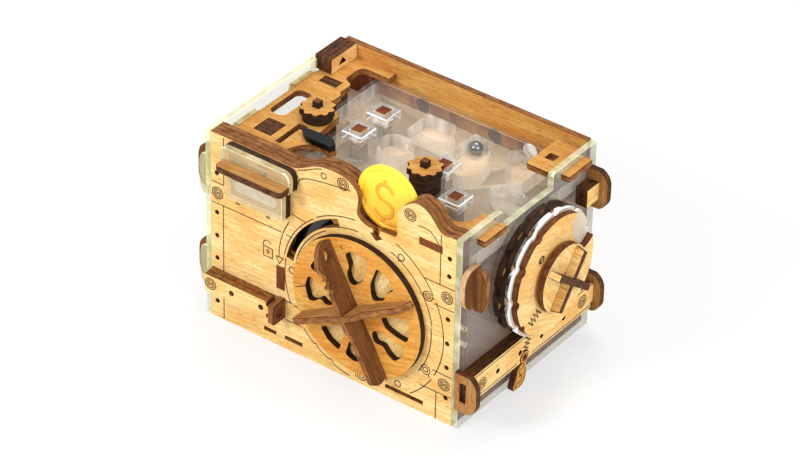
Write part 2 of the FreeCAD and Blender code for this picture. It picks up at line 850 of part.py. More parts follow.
cross_fin = loop(
    (-fin_end + 2.6, 0),
    line_to(-fin_end + 2.4, fin_high - 2.7),
    line_to(-fin_end + 4.4, fin_high - 2.0),
    line_to(-8.4, fin_high - 1.6),
    line_to(-6.8, fin_high),
    line_to(7.4, fin_high),
    line_to(10.8, fin_high - 2.9),
    line_to(fin_end - 4, fin_high - 4.2),
    line_to(fin_end - 0.4, 1.0),
    line_to(fin_end - 1, 0),
    *tab_steps(RIGHT_TAB),
    line_to(lap, 0),
    line_to(lap, fin_high / 2),
    line_to(-lap, fin_high / 2),
    line_to(-lap, 0),
    *tab_steps(LEFT_TAB),
    line_to(-fin_end + 2.6, 0),
)
fin("wheel_cross_fin", cross_fin_angle, cross_fin)


# Slider at the upper left: a wooden plate under two clear sheets, with a ledge to push it by

def slider_outline():
    """The slider's edge: the upper part is wider than the lower one."""
    corner = 4.0
    near = corner * (1 - math.sqrt(0.5))
    left = size.slider_left
    right = left + size.slider_width
    low_left = left + size.slider_step
    low_right = right - size.slider_step
    top = height
    shoulder = top - size.slider_head
    return loop(
        (low_left, size.slider_bottom),
        line_to(low_right, size.slider_bottom),
        line_to(low_right, shoulder),
        line_to(right, shoulder),
        line_to(right, top - corner),
        arc_to((right - near, top - near), (right - corner, top)),
        line_to(left + corner, top),
        arc_to((left + near, top - near), (left, top - corner)),
        line_to(left, shoulder),
        line_to(low_left, shoulder),
        line_to(low_left, size.slider_bottom),
    )


tongue_slot = grown((tongue_left, size.ledge_z, tongue_left + tongue_width, ledge_top), size.fit_gap)
slot_end = size.pin_radius + 2 * size.run_gap
slider_back = -size.free_gap
slider_plate_front = slider_back - ply
inner_sheet_front = slider_plate_front - size.thin_acrylic
outer_sheet_front = inner_sheet_front - size.thin_acrylic
pin_x, pin_z = slider_pin_centre
slot_length = size.slider_travel + 6.0
pin_slot = rounded(pin_x - slot_length - slot_end, pin_z - slot_end, pin_x + slot_end, pin_z + slot_end,
                   slot_end * 0.98)
plate("slider_plate", "front", slider_plate_front, [slider_outline(), pin_slot, tongue_slot])
group("slider_sheets", [
    piece("slider_sheet", "front", front, [slider_outline(), tongue_slot], thickness=size.thin_acrylic)
    for front in (inner_sheet_front, outer_sheet_front)
])
key_front = second_layer + size.free_gap
key_thick = ply - 2 * size.free_gap
plate("slider_key", "front", key_front, [
    rectangle(key_left, size.ledge_z - key_margin, key_left + key_width, ledge_top + key_margin),
    tongue_slot,
], thickness=key_thick)
ledge_left = size.slider_left + 2.8
ledge_right = size.slider_left + size.slider_width + 0.4
plate("slider_ledge", "level", size.ledge_z, [polygon(
    (ledge_left + 1.5, -size.ledge_reach),
    (ledge_right - 1.5, -size.ledge_reach),
    (ledge_right, -size.ledge_reach + 1.5),
    (ledge_right, outer_sheet_front),
    (tongue_left + tongue_width, outer_sheet_front),
    (tongue_left + tongue_width, key_front + key_thick),
    (tongue_left, key_front + key_thick),
    (tongue_left, outer_sheet_front),
    (ledge_left, outer_sheet_front),
    (ledge_left, -size.ledge_reach + 1.5),
)])
pin_front = slider_plate_front + size.free_gap


# Beam low on the front, with the keeper that its tongue runs through

beam_left = 0.9
beam_right = beam_left + size.front_beam_length
beam_z = size.front_beam_z
beam_top = beam_z + size.front_beam_height
tongue_low = beam_z + 2.4
tongue_high = beam_top - 2.4
keeper_x = beam_right + 2.8
tongue_end = keeper_x + ply - size.tongue_recess
beam_holes = [circle(beam_left + 14.9, beam_z + 4.4, 1.3), circle(beam_left + 31.1, beam_z + 4.4, 1.3)]
back_beam = piece("front_beam_back", "front", -ply, [rectangle(beam_left, beam_z, beam_right, beam_top)]
                  + beam_holes)
near_beam = piece("front_beam_near", "front", -2 * ply, [polygon(
    (beam_left, beam_z),
    (beam_right, beam_z),
    (beam_right, tongue_low),
    (tongue_end, tongue_low),
    (tongue_end, tongue_high),
    (beam_right, tongue_high),
    (beam_right, beam_top),
    (beam_left, beam_top),
)] + beam_holes)
group("front_beam", [back_beam, near_beam])
plate("front_keeper", "side", keeper_x, [
    loop(
        (0, beam_z - 0.6),
        line_to(0, beam_top + 0.9),
        line_to(-7.0, beam_top + 0.9),
        arc_to((-8.2, beam_top + 0.4), (-8.6, beam_top - 0.8)),
        line_to(-8.6, beam_z + 1.0),
        arc_to((-8.2, beam_z - 0.2), (-7.0, beam_z - 0.6)),
        line_to(0, beam_z - 0.6),
    ),
    grown((-2 * ply, tongue_low, -ply, tongue_high), size.fit_gap),
])


# Sides, back and base

def side_holes(places):
    return [circle(y, z, size.pin_hole) for y, z in places]


ear_depth = 28.0
saddle = height - 8.4
hub_hole = circle(*dial_centre, size.dial_hub_radius + size.run_gap)
tab_low = size.corner_plate_z - size.fit_gap
tab_high = size.corner_plate_z + ply + size.fit_gap
front_tab = (10.0, 25.5)
back_tab = (depth - 26.1, depth - 9.1)
right_tabs = (front_tab, back_tab)
plate("right_side_panel", "side", width, [
    loop(
        (0, 0),
        line_to(depth, 0),
        line_to(depth, height - 0.6),
        line_to(depth - 29.9, height - 0.6),
        arc_to((depth - 31.2, height - 1.2), (depth - 31.9, height - 2.6)),
        line_to(depth - 31.9, saddle),
        line_to(ear_depth + 0.8, saddle),
        line_to(ear_depth + 0.8, height - 2.0),
        arc_to((ear_depth + 0.2, height - 0.2), (ear_depth - 1.4, height + 0.4)),
        line_to(0, height + 0.4),
        line_to(0, 0),
    ),
    hub_hole,
    *[rectangle(start - size.fit_gap, tab_low, end + size.fit_gap, tab_high) for start, end in right_tabs],
] + side_holes([(4.0, 42.0), (4.0, 50.0)]), thickness=size.acrylic)

left_tabs = ((19.0, 33.0), (58.0, 72.0))
plate_low = size.top_plate_z - size.fit_gap
plate_high = plate_top + size.fit_gap
plate("left_side_panel", "side", -size.acrylic, [polygon(
    (0, 0),
    (depth, 0),
    (depth, size.top_plate_z - 1.0),
    (73.8, size.top_plate_z - 1.0),
    (73.8, height - 0.6),
    (0, height - 0.6),
)] + [rectangle(start - size.fit_gap, plate_low, end + size.fit_gap, plate_high)
      for start, end in left_tabs],
      thickness=size.acrylic)

back_hole = circle(101.0, 79.0, 3.6)
plate("back_panel", "front", back_face, [rectangle(0, 0, width, height), back_hole])
plate("base_panel", "level", 0, [rectangle(0, wall_back, width, back_face)])


# Beam and keepers on the right

side_z = size.side_beam_z
side_top = side_z + size.side_beam_height
side_mid = (side_z + side_top) / 2
side_front = 3.0
side_back = 89.0
beam_outer_x = right_face + ply
pivot_above = 1.9
tail_y = 39.8
tail_pivot = (tail_y, side_z + pivot_above)
notch_radius = size.tail_head_radius + size.free_gap
notch_half = root(notch_radius * notch_radius - pivot_above * pivot_above)
beam_side_holes = [circle(y, side_z + 5.9, 1.25) for y in (20.3, 36.5, 52.3, 68.7)]
tail_pin_seat = circle(*tail_pivot, size.tail_pin_radius + size.fit_gap)
back_keeper_y = depth - 5.9
side_tongue_low = side_z + 2.4
side_tongue_high = side_top - 1.4
front_tongue_end = -ply + size.tongue_recess
back_tongue_end = back_keeper_y + ply + 0.4
plate("right_beam_inner", "side", right_face,
      [rectangle(side_front, side_z, side_back, side_top), tail_pin_seat] + beam_side_holes)
plate("right_beam_outer", "side", beam_outer_x, [loop(
    (side_front, side_z),
    line_to(tail_y - notch_half, side_z),
    arc_to((tail_y, side_z + pivot_above + notch_radius), (tail_y + notch_half, side_z)),
    line_to(side_back, side_z),
    line_to(side_back, side_tongue_low),
    line_to(back_tongue_end, side_tongue_low),
    line_to(back_tongue_end, side_tongue_high),
    line_to(side_back, side_tongue_high),
    line_to(side_back, side_top),
    line_to(side_front, side_top),
    line_to(side_front, side_tongue_high),
    line_to(front_tongue_end, side_tongue_high),
    line_to(front_tongue_end, side_tongue_low),
    line_to(side_front, side_tongue_low),
    line_to(side_front, side_z),
)] + beam_side_holes)


def keeper(label, y, z, tall, reach_out, hole):
    """A plate that stands out from the right side, rounded outside, with a hole for a tongue."""
    left = right_face
    right = right_face + reach_out
    round_off = 4.5
    near = round_off * 0.35
    return piece(label, "front", y, [
        loop(
            (left, z),
            line_to(right - round_off, z),
            arc_to((right - near, z + near * 1.4), (right, z + round_off * 1.5)),
            line_to(right, z + tall - round_off * 1.5),
            arc_to((right - near, z + tall - near * 1.4), (right - round_off, z + tall)),
            line_to(left, z + tall),
            line_to(left, z),
        ),
        grown(hole, size.fit_gap),
    ])


side_hole = (beam_outer_x, side_tongue_low, beam_outer_x + ply, side_tongue_high)
upper_key_z = 71.5
upper_key_top = 80.5
key_hole = (beam_outer_x, upper_key_z, beam_outer_x + ply, upper_key_top)
group("right_keepers", [
    keeper("lower_front_keeper", -ply, side_z - 3.2, 19.5, 11.7, side_hole),
    keeper("lower_back_keeper", back_keeper_y, side_z - 3.2, 19.5, 10.0, side_hole),
    keeper("upper_back_keeper", back_keeper_y, 66.6, 19.4, 10.6, key_hole),
])
key_start = 82.0
group("upper_back_key", [
    piece("key_back", "side", right_face, [rectangle(key_start, upper_key_z, back_keeper_y, upper_key_top)]),
    piece("key_near", "side", beam_outer_x,
          [rectangle(key_start, upper_key_z, back_keeper_y + ply + 1.5, upper_key_top)]),
])


def d_plate(flat, low, bulge, top):
    """A D shape whose flat side stands at one place and whose round side bulges to another."""
    lean = (bulge - flat) * 0.55
    return loop(
        (flat, low),
        line_to(flat + lean, low),
        curve_to((bulge - (bulge - flat) * 0.12, low + 2.6), (bulge, low + 6.5), (bulge, (low + top) / 2),
                 (bulge, top - 6.5), (bulge - (bulge - flat) * 0.12, top - 2.6), (flat + lean, top)),
        line_to(flat, top),
        line_to(flat, low),
    )


plate("upper_front_key", "side", right_face, [d_plate(9.5, 62.0, -1.5, 81.5)])
plate("upper_front_keeper", "front", 5.0, [d_plate(right_face + ply, 60.5, right_face + 9.0, 80.5)])

# Clips on the left side

left_face = -size.acrylic
clip_slot = rectangle(left_face - 5.6, 21.0, left_face - 3.0, 27.5)
group("left_clips", [
    piece("upper_clip", "front", 5.0, [d_plate(left_face, 62.0, left_face - 8.0, 84.0)]),
    piece("lower_clip", "front", 5.0, [d_plate(left_face, 14.0, left_face - 8.0, 35.0), clip_slot]),
])
group("left_clear_clips", [
    piece("clear_clip", "front", 1.8, [d_plate(left_face, low, left_face - 5.0, low + 21.0)],
          thickness=size.acrylic)
    for low in (13.0, 61.0)
])


# Dial: a clear ring, two lobed discs, a clear disc and the face disc turn together on a hollow spindle

dial_notches = 11
notch_spread = 4.0
dial_back_x = right_face + size.free_gap
dial_disc_x = dial_back_x + size.dial_acrylic
dial_middle_x = dial_disc_x + ply
dial_clear_x = dial_middle_x + ply
dial_face_x = dial_clear_x + size.dial_acrylic
dial_front_x = dial_face_x + ply
hub_bore = circle(0, 0, size.dial_hub_radius + size.fit_gap)
inner_retainer_x = width - size.free_gap - ply


def notched_rim(start):
    """The rim of a dial disc, with shallow round notches at even steps from a start angle."""
    pitch = 360.0 / dial_notches
    rim = size.dial_radius
    steps = []
    for notch in range(dial_notches):
        middle = start + notch * pitch
        steps.append(arc_to(polar(rim - size.dial_notch, middle), polar(rim, middle + notch_spread)))
        steps.append(arc_to(polar(rim, middle + pitch / 2), polar(rim, middle + pitch - notch_spread)))
    return loop(polar(rim, start - notch_spread), *steps)


def dial_face_outline():
    """The face disc, cut away at the upper back and notched along its front edge."""
    rim = size.dial_face_radius
    low = size.dial_face_radius - size.dial_notch
    cut_start = polar(rim, 58.5)
    cut_end = polar(rim, 12.0)
    notches = []
    for angle in (118.0, 150.0, 182.0, 214.0):
        notches.append(arc_to(polar(rim, angle - 11), polar(rim, angle - notch_spread)))
        notches.append(arc_to(polar(low, angle), polar(rim, angle + notch_spread)))
    return loop(
        cut_end,
        curve_to(polar(18.8, 12.0), polar(17.6, 27.0), polar(18.7, 50.0), polar(21.5, 57.0), cut_start),
        *notches,
        arc_to(polar(rim, 295.0), cut_end),
    )


plate("dial_base_ring", "side", dial_back_x, [circle(0, 0, size.dial_base_radius), hub_bore],
      thickness=size.dial_acrylic, centre=dial_centre)
group("dial_lobed_discs", [
    piece("lobed_disc", "side", x, [notched_rim(start), hub_bore], centre=dial_centre)
    for x, start in ((dial_disc_x, 10.0), (dial_middle_x, 24.0))
])
plate("dial_clear_disc", "side", dial_clear_x, [notched_rim(19.0), hub_bore], thickness=size.dial_acrylic,
      centre=dial_centre)
plate("dial_face", "side", dial_face_x, [dial_face_outline(), hub_bore], centre=dial_centre)
knob_bore = circle(0, 0, size.knob_spindle_radius + size.run_gap)
plate("dial_hub", "side", inner_retainer_x, [circle(0, 0, size.dial_hub_radius), knob_bore],
      thickness=dial_front_x - inner_retainer_x, centre=dial_centre)
plate("dial_retainer", "side", inner_retainer_x, [circle(0, 0, size.retainer_radius + 1), hub_bore],
      centre=dial_centre)

knob_x = dial_front_x + size.knob_stand_off
knob_front = knob_x + ply
knob_inner_x = inner_retainer_x - size.free_gap - ply
knob_seat = circle(0, 0, size.knob_spindle_radius + size.fit_gap)
plate("knob_disc", "side", knob_x, [circle(0, 0, size.knob_radius), knob_seat], centre=dial_centre)
plate("knob_spindle", "side", knob_inner_x, [circle(0, 0, size.knob_spindle_radius)],
      thickness=knob_front - knob_inner_x, centre=dial_centre)
washer_x = dial_front_x + size.free_gap
knob_washer_bore = size.knob_spindle_radius + size.fit_gap
group("knob_washers", [
    disc("outer_washer", "side", washer_x, knob_x - washer_x, size.retainer_radius, dial_centre,
         knob_washer_bore),
    disc("inner_washer", "side", knob_inner_x, ply, size.knob_spindle_radius + 4, dial_centre,
         knob_washer_bore),
])


def knob_fin(label, angle, outline):
    """A fin drawn along +X with its height toward +Y, stood on the knob's face at an angle from +Y."""
    body = cut_plate(label, "level", [outline], ply)
    stood = FreeCAD.Rotation(FreeCAD.Vector(1, 1, 0), 180)
    turn = FreeCAD.Rotation(FreeCAD.Vector(1, 0, 0), angle).multiply(stood)
    side = turn.multVec(FreeCAD.Vector(0, 0, -0.5))
    return place(body, knob_front, size.dial_y + ply * side.y, size.dial_z + ply * side.z, turn)


knob_fin_reach = size.knob_radius - 1.0
low_fin = size.knob_fin_height
tall_fin = low_fin + 1.0
group("knob_fins", [
    knob_fin("low_fin", float(size.knob_turn), polygon(
        (-knob_fin_reach, 0),
        (knob_fin_reach, 0),
        (knob_fin_reach - 1, low_fin),
        (lap, low_fin),
        (lap, low_fin / 2),
        (-lap, low_fin / 2),
        (-lap, low_fin),
        (-knob_fin_reach + 1, low_fin),
    )),
    knob_fin("tall_fin", float(size.knob_turn) - 90, polygon(
        (-knob_fin_reach, 0),
        (-lap, 0),
        (-lap, low_fin / 2),
        (lap, low_fin / 2),
        (lap, 0),
        (knob_fin_reach, 0),
        (knob_fin_reach - 1, tall_fin),
        (-knob_fin_reach + 1, tall_fin),
    )),
])


# Maze under the clear cover

posts = [(42.1, 66.5), (42.4, 48.7), (86.7, 50.3), (105.0, 33.5)]
post_half = size.post_width / 2
gear_left = (23.5, 44.0)
hook_pivot = (31.5, 29.5)
gear_centre = (86.9, 36.2)
column_radius = size.gear_radius - 1.2


def post_holes(gap):
    return [rectangle(x - post_half - gap, y - post_half - gap, x + post_half + gap, y + post_half + gap)
            for x, y in posts]


lane_half = size.ball_radius + 0.5
lane = loop(
    (size.ball_x - lane_half, 70.0),
    curve_to((size.ball_x - lane_half + 0.9, 64.5), (83.5, 57.5), (90.0, 55.8), (95.0, 58.5), (96.0, 66.0),
             (93.4, 74.5), (88.0, 80.5), (86.8, 86.0)),
    line_to(size.ball_x - lane_half, 86.0),
    line_to(size.ball_x - lane_half, 70.0),
)
maze_windows = [
    lane,
    rounded(107.2, 53.0, 124.4, 61.0, 3.95),
    loop(
        (47.5, 58.0),
        curve_to((47.8, 52.5), (53.5, 50.2), (60.0, 50.6), (63.5, 55.5), (62.6, 62.6), (56.2, 65.2),
                 (49.6, 63.6), (47.5, 58.0)),
    ),
    loop(
        (52.0, 71.0),
        line_to(68.0, 71.0),
        curve_to((71.0, 73.0), (71.5, 77.5), (69.0, 83.0), (66.0, 86.0)),
        line_to(52.0, 86.0),
        line_to(52.0, 71.0),
    ),
    loop(
        (100.0, 88.0),
        curve_to((99.0, 80.0), (103.2, 76.5), (103.5, 71.5), (107.5, 69.0), (111.0, 66.0), (115.0, 67.5)),
        line_to(115.0, 88.0),
        line_to(100.0, 88.0),
    ),
]
maze_edge = polygon(
    (31.0, wall_back),
    (width, wall_back),
    (width, back_face),
    (19.5, back_face),
    (19.5, 57.0),
    (31.0, 57.0),
)
column_hole = circle(*gear_centre, column_radius + size.free_gap)
maze_holes = post_holes(size.fit_gap) + [column_hole]
plate("maze_floor", "level", size.floor_z, [rectangle(0, wall_back, width, back_face)]
      + post_holes(size.fit_gap) + [circle(*gear_centre, size.knob_spindle_radius + size.run_gap)])
plate("maze_plate", "level", floor_top, [maze_edge] + maze_holes, thickness=size.maze_wall,
      windows=maze_windows)
plate("maze_cover", "level", maze_top, [maze_edge] + maze_holes, thickness=size.acrylic)
group("maze_posts", [
    block(x - post_half, y - post_half, size.floor_z, x + post_half, y + post_half, size.post_top)
    for x, y in posts
])


def collar(x, y):
    """A clear square collar that stands on the cover round a post."""
    outer_half = post_half + size.collar_rim
    inner_half = post_half + size.fit_gap
    top = size.post_top - 0.5
    outer = block(x - outer_half, y - outer_half, cover_top, x + outer_half, y + outer_half, top)
    inner = block(x - inner_half, y - inner_half, cover_top - 1, x + inner_half, y + inner_half, top + 1)
    return cut_block(outer, inner)


group("post_collars", [collar(x, y) for x, y in posts])

ball = doc.addObject("Part::Sphere", "ball")
ball.setExpression("Radius", formula_of(size.ball_radius))
place(ball, size.ball_x, size.ball_y, floor_top + size.ball_radius + size.run_gap)
name_node(ball, "ball")


# Plates at the top left

top_tab_reach = size.acrylic * 0.9
left_plate_outline = loop(
    (0, wall_back),
    line_to(26.5, wall_back),
    curve_to((27.4, 15.0), (29.3, 20.5), (32.5, 25.3), (37.0, 27.6), (42.5, 26.5)),
    line_to(45.0, 29.5),
    line_to(38.5, 34.0),
    line_to(31.2, 34.0),
    line_to(30.4, 48.5),
    arc_to((29.2, 51.8), (26.4, 53.6)),
    line_to(20.5, 58.5),
    line_to(20.5, 63.0),
    arc_to((20.2, 64.8), (18.8, 66.0)),
    line_to(18.8, 72.5),
    arc_to((18.2, 74.2), (16.6, 75.0)),
    line_to(13.8, 77.0),
    line_to(13.8, 84.5),
    arc_to((14.9, 87.0), (17.3, 88.0)),
    line_to(28.9, 88.0),
    line_to(28.9, back_face),
    line_to(0, back_face),
    line_to(0, left_tabs[1][1]),
    line_to(-top_tab_reach, left_tabs[1][1]),
    line_to(-top_tab_reach, left_tabs[1][0]),
    line_to(0, left_tabs[1][0]),
    line_to(0, left_tabs[0][1]),
    line_to(-top_tab_reach, left_tabs[0][1]),
    line_to(-top_tab_reach, left_tabs[0][0]),
    line_to(0, left_tabs[0][0]),
    line_to(0, wall_back),
)
double_tenon = (6.8, 21.0, 16.0, 31.4)
single_tenon = (5.6, 68.0, 14.7, 73.0)
gear_bore = size.knob_spindle_radius + size.run_gap
plate("top_left_plate", "level", size.top_plate_z, [
    left_plate_outline,
    rounded(3.0, 36.0, 11.0, 57.0, 2.5),
    grown(double_tenon, size.fit_gap),
    grown(single_tenon, size.fit_gap),
    polygon((20.0, 19.0), (22.6, 19.0), (22.6, 31.0), (24.6, 33.0), (24.6, 36.0), (20.0, 36.0)),
    circle(*gear_left, gear_bore),
    circle(*hook_pivot, size.hook_pin_radius + size.run_gap),
])


def upright(box, bottom=floor_top, top=plate_top):
    """A block over a rectangle, from the maze floor up to the plate's top."""
    left, front, right, back = box
    return block(left, front, bottom, right, back, top)


tenon_split = (double_tenon[0] + double_tenon[2]) / 2
group("top_left_tenons", [
    upright((double_tenon[0], double_tenon[1], tenon_split - size.fit_gap, double_tenon[3])),
    upright((tenon_split + size.fit_gap, double_tenon[1], double_tenon[2], double_tenon[3])),
    upright(single_tenon),
])
wall_top = size.top_plate_z
group("top_left_walls", [
    upright((27.0, 35.0, 30.0, 49.0), top=wall_top),
    upright((15.5, 66.5, 18.5, 72.0), top=wall_top),
    upright((3.0, 89.0, 19.0, 92.0), top=wall_top),
    upright((2.0, 10.0, 25.0, 13.0), top=wall_top),
])
block_plates = []
for layer in range(3):
    left = -2.0 + layer * 3.0
    body = cut_plate(f"corner_block_{layer}", "side", [
        rectangle(75.0, plate_top, back_face, height + 0.4),
        polygon((80.5, plate_top + 2.2), (85.5, plate_top + 2.2), (83.0, plate_top + 5.2)),
    ], ply)
    block_plates.append(place(body, left, 0, 0))
group("corner_block", block_plates)


# Plates at the top right, each with a tab through the clear side

tab_reach = right_face + 4.2
back_corner = piece("back_corner_plate", "level", size.corner_plate_z, [
    loop(
        (width - 12.2, depth - 28.5),
        line_to(width, depth - 28.5),
        line_to(width, back_tab[0]),
        line_to(tab_reach, back_tab[0]),
        line_to(tab_reach, back_tab[1]),
        line_to(width, back_tab[1]),
        line_to(width, depth - 5.4),
        line_to(width - 12, depth - 5.4),
        arc_to((width - 13.3, depth - 6.2), (width - 13.8, depth - 7.6)),
        line_to(width - 13.8, depth - 26.9),
        arc_to((width - 13.3, depth - 28), (width - 12.2, depth - 28.5)),
    ),
    rectangle(width - 9.8, depth - 20.4, width - 5.3, depth - 15.9),
])
front_corner = piece("front_corner_plate", "level", size.corner_plate_z, [
    loop(
        (width - 20, wall_back),
        line_to(width, wall_back),
        line_to(width, front_tab[0]),
        line_to(tab_reach, front_tab[0]),
        line_to(tab_reach, front_tab[1]),
        line_to(width, front_tab[1]),
        line_to(width, 27.0),
        line_to(width - 6, 27.0),
        curve_to((width - 6.2, 21.0), (width - 8.5, 16.5), (width - 13.5, 14.2), (width - 20, wall_back)),
    ),
])
group("corner_plates", [back_corner, front_corner])


# Thumb wheels: a toothed disc and a square pin on a spindle

gear_teeth = 10
gear_low = size.gear_radius - 0.9


def thumb_wheel(name, centre, foot, step, foot_radius):
    """A toothed disc on a stepped spindle whose square head comes through it."""
    disc_z = size.gear_top - ply
    pin_half = size.gear_pin / 2
    gap = size.fit_gap
    pin_hole = rectangle(-pin_half - gap, -pin_half - gap, pin_half + gap, pin_half + gap)
    plate(name + "_gear", "level", disc_z, [lobed(gear_teeth, gear_low, size.gear_radius), pin_hole],
          centre=centre)
    x, y = centre
    spindle = fused(name + "_gear_spindle", [
        cylinder(centre, foot, step, foot_radius),
        cylinder(centre, step, disc_z, column_radius),
        block(x - pin_half, y - pin_half, disc_z, x + pin_half, y + pin_half,
              size.gear_top + size.gear_pin_high),
    ])
    name_node(spindle, name + "_gear_spindle")


thumb_wheel("left", gear_left, size.top_plate_z - 3.5, plate_top + size.free_gap, size.knob_spindle_radius)
thumb_wheel("centre", gear_centre, size.floor_z - 1.0, floor_top + size.free_gap, size.knob_spindle_radius)


# Levers

tail_x = beam_outer_x + size.free_gap
head = size.tail_head_radius
plate("tail_lever", "side", tail_x, [
    loop(
        polar(head, -62),
        arc_to(polar(head, 90), polar(head, -128)),
        line_to(-4.3, -3.0),
        curve_to((-5.5, -5.2), (-6.5, -8.4), (-7.7, -10.6), (-7.9, -13.6)),
        line_to(-7.3, -14.2),
        curve_to((-3.5, -14.3), (-1.1, -13.7), (0.8, -11.9), (1.4, -9.3), (1.1, -5.6), (1.2, -4.2),
                 polar(head, -62)),
    ),
    circle(0, 0, size.tail_pin_radius + size.run_gap),
], centre=tail_pivot)
group("fixed_pins", [
    disc("slider_pin", "front", pin_front, wall_back - pin_front, size.pin_radius, slider_pin_centre),
    disc("tail_pin", "side", right_face, tail_x + ply + size.free_gap - right_face, size.tail_pin_radius,
         tail_pivot),
])
hook_z = plate_top + size.free_gap
hook_plate = piece("hook_plate", "level", hook_z, [
    loop(
        (-6.5, 1.8),
        line_to(-3.0, -1.6),
        curve_to((3.0, -3.4), (8.0, -3.2), (12.6, -4.0)),
        line_to(13.4, -0.6),
        line_to(10.0, 2.4),
        line_to(3.0, 2.6),
        line_to(-6.5, 1.8),
    ),
], centre=hook_pivot)
hook_pin = cylinder(hook_pivot, size.top_plate_z, hook_z, size.hook_pin_radius)
name_node(fused("black_hook", [hook_plate, hook_pin]), "black_hook")


def save():
    """Check every object, then write each node as its own STEP file."""
    doc.recompute()
    for thing in doc.Objects:
        for state in ("Invalid", "Error"):
            if state in thing.State:
                raise RuntimeError(f"{thing.Label}: {thing.State}")
    os.makedirs("parts", exist_ok=True)
    for node in nodes:
        shape = node.Shape
        if shape.isNull() or not shape.isValid():
            raise RuntimeError(f"{node.Label}: no valid shape")
        shape.exportStep(f"parts/{node.Label}.step")


save()
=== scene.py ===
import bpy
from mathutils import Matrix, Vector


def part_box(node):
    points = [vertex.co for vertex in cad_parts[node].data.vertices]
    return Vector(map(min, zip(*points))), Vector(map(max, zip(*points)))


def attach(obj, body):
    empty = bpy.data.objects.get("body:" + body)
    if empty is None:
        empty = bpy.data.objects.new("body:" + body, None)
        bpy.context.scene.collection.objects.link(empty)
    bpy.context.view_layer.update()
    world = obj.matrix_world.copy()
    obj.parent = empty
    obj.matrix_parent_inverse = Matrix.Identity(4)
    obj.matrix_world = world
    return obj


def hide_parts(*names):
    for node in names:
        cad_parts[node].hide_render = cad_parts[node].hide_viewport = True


bl_info = {
    "name": "Maze Coin Bank",
    "version": (1, 0, 0),
    "blender": (4, 5, 0),
    "location": "View3D > Sidebar > Coin Bank",
    "description": "Laser-cut plywood and acrylic coin bank with a wheel, a dial and a ball maze",
    "category": "Add Mesh",
}

import math

import bpy
import numpy as np
from mathutils import Matrix, Vector

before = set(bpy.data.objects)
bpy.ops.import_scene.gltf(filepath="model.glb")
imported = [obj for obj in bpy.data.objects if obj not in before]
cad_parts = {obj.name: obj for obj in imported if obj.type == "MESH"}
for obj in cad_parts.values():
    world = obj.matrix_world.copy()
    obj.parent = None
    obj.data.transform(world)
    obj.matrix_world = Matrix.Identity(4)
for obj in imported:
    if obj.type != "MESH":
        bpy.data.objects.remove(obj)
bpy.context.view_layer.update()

# Places are in millimetres from the lower left corner of the front face: x right, y back, z up
METRE = 1000.0
SHEET = 3.0
BODY_HEIGHT = 96.4
BOX_MIDDLE = (65.0, 48.2)
WHEEL_AXIS = (81.4, 41.5)
TAIL_PIN = (39.8, 17.6)

# Faces that carry engraved lines, film or spots: y of those that face the front, x of those that face right
FRONT_FACE = 0.0
FRONT_BEAM_FACE = -6.0
WHEEL_FACE = -3.3
SLIDER_SHEET_FACE = -3.2
BACK_PLATE_FACE = 93.4
SIDE_BEAM_FACE = 139.0
TAIL_FACE = 139.3
DIAL_FACE = 147.3

# Engraved lines and spots stand this far proud of their face and reach this far into it, so that no gap shows
PROUD = 0.03
SUNK = 0.06


def metres(points):
    """Points in millimetres from the box corner, moved to the middle and scaled to metres."""
    moved = np.asarray(points, float) - (BOX_MIDDLE[0], BOX_MIDDLE[1], 0.0)
    return moved / METRE


# Colours and nodes

def linear(hex_colour):
    """An sRGB hex colour as linear red, green, blue and full alpha."""
    values = [int(hex_colour[start:start + 2], 16) / 255.0 for start in (1, 3, 5)]
    curved = [value / 12.92 if value <= 0.04045 else ((value + 0.055) / 1.055) ** 2.4 for value in values]
    return (*curved, 1.0)


def start_material(name):
    """An empty node material with its Principled shader."""
    material = bpy.data.materials.new(name)
    material.use_nodes = True
    tree = material.node_tree
    return material, tree, tree.nodes["Principled BSDF"]


def add_node(tree, kind, inputs=None, settings=None, output=0, stops=()):
    """Add a node with its settings and links, and give back one of its outputs.

    Each input is a value, or the output of another node that is linked to it. Stops are the positions and
    colours of a colour ramp.
    """
    node = tree.nodes.new(kind)
    for key, value in (settings or {}).items():
        setattr(node, key, value)
    for key, item in (inputs or {}).items():
        if isinstance(item, bpy.types.NodeSocket):
            tree.links.new(item, node.inputs[key])
        else:
            node.inputs[key].default_value = item
    for number, (position, colour) in enumerate(stops):
        elements = node.color_ramp.elements
        element = elements[number] if number < 2 else elements.new(position)
        element.position = position
        element.color = linear(colour)
    return node.outputs[output]


ADD = {"operation": "ADD"}
MULTIPLY = {"operation": "MULTIPLY"}
MULTIPLY_ADD = {"operation": "MULTIPLY_ADD"}
ABSOLUTE = {"operation": "ABSOLUTE"}
ABOVE = {"operation": "GREATER_THAN"}
LARGER = {"operation": "MAXIMUM"}

# A Mix node of colours takes its factor at 0 and its colours at 6 and 7, and gives the mix at output 2
COLOURS = {"data_type": "RGBA"}


# Sheets lie in one of these ways: local x runs along the sheet, local z through its thickness

LONG_FIN_ANGLE = 118.3
KNOB_ANGLE = 52.5


def turned(*steps):
    """Turns made one after the other, each an axis letter and an angle in degrees."""
    whole = Matrix.Identity(3)
    for axis, angle in steps:
        whole = Matrix.Rotation(math.radians(angle), 3, axis) @ whole
    return whole


FACINGS = {
    "front": turned(("X", 90)),
    "side": turned(("X", 90), ("Z", 90)),
    "level": turned(),
    "long fin": turned(("Y", -LONG_FIN_ANGLE)),
    "cross fin": turned(("Y", 90 - LONG_FIN_ANGLE)),
    "knob fins": turned(("Z", 90), ("X", KNOB_ANGLE)),
}


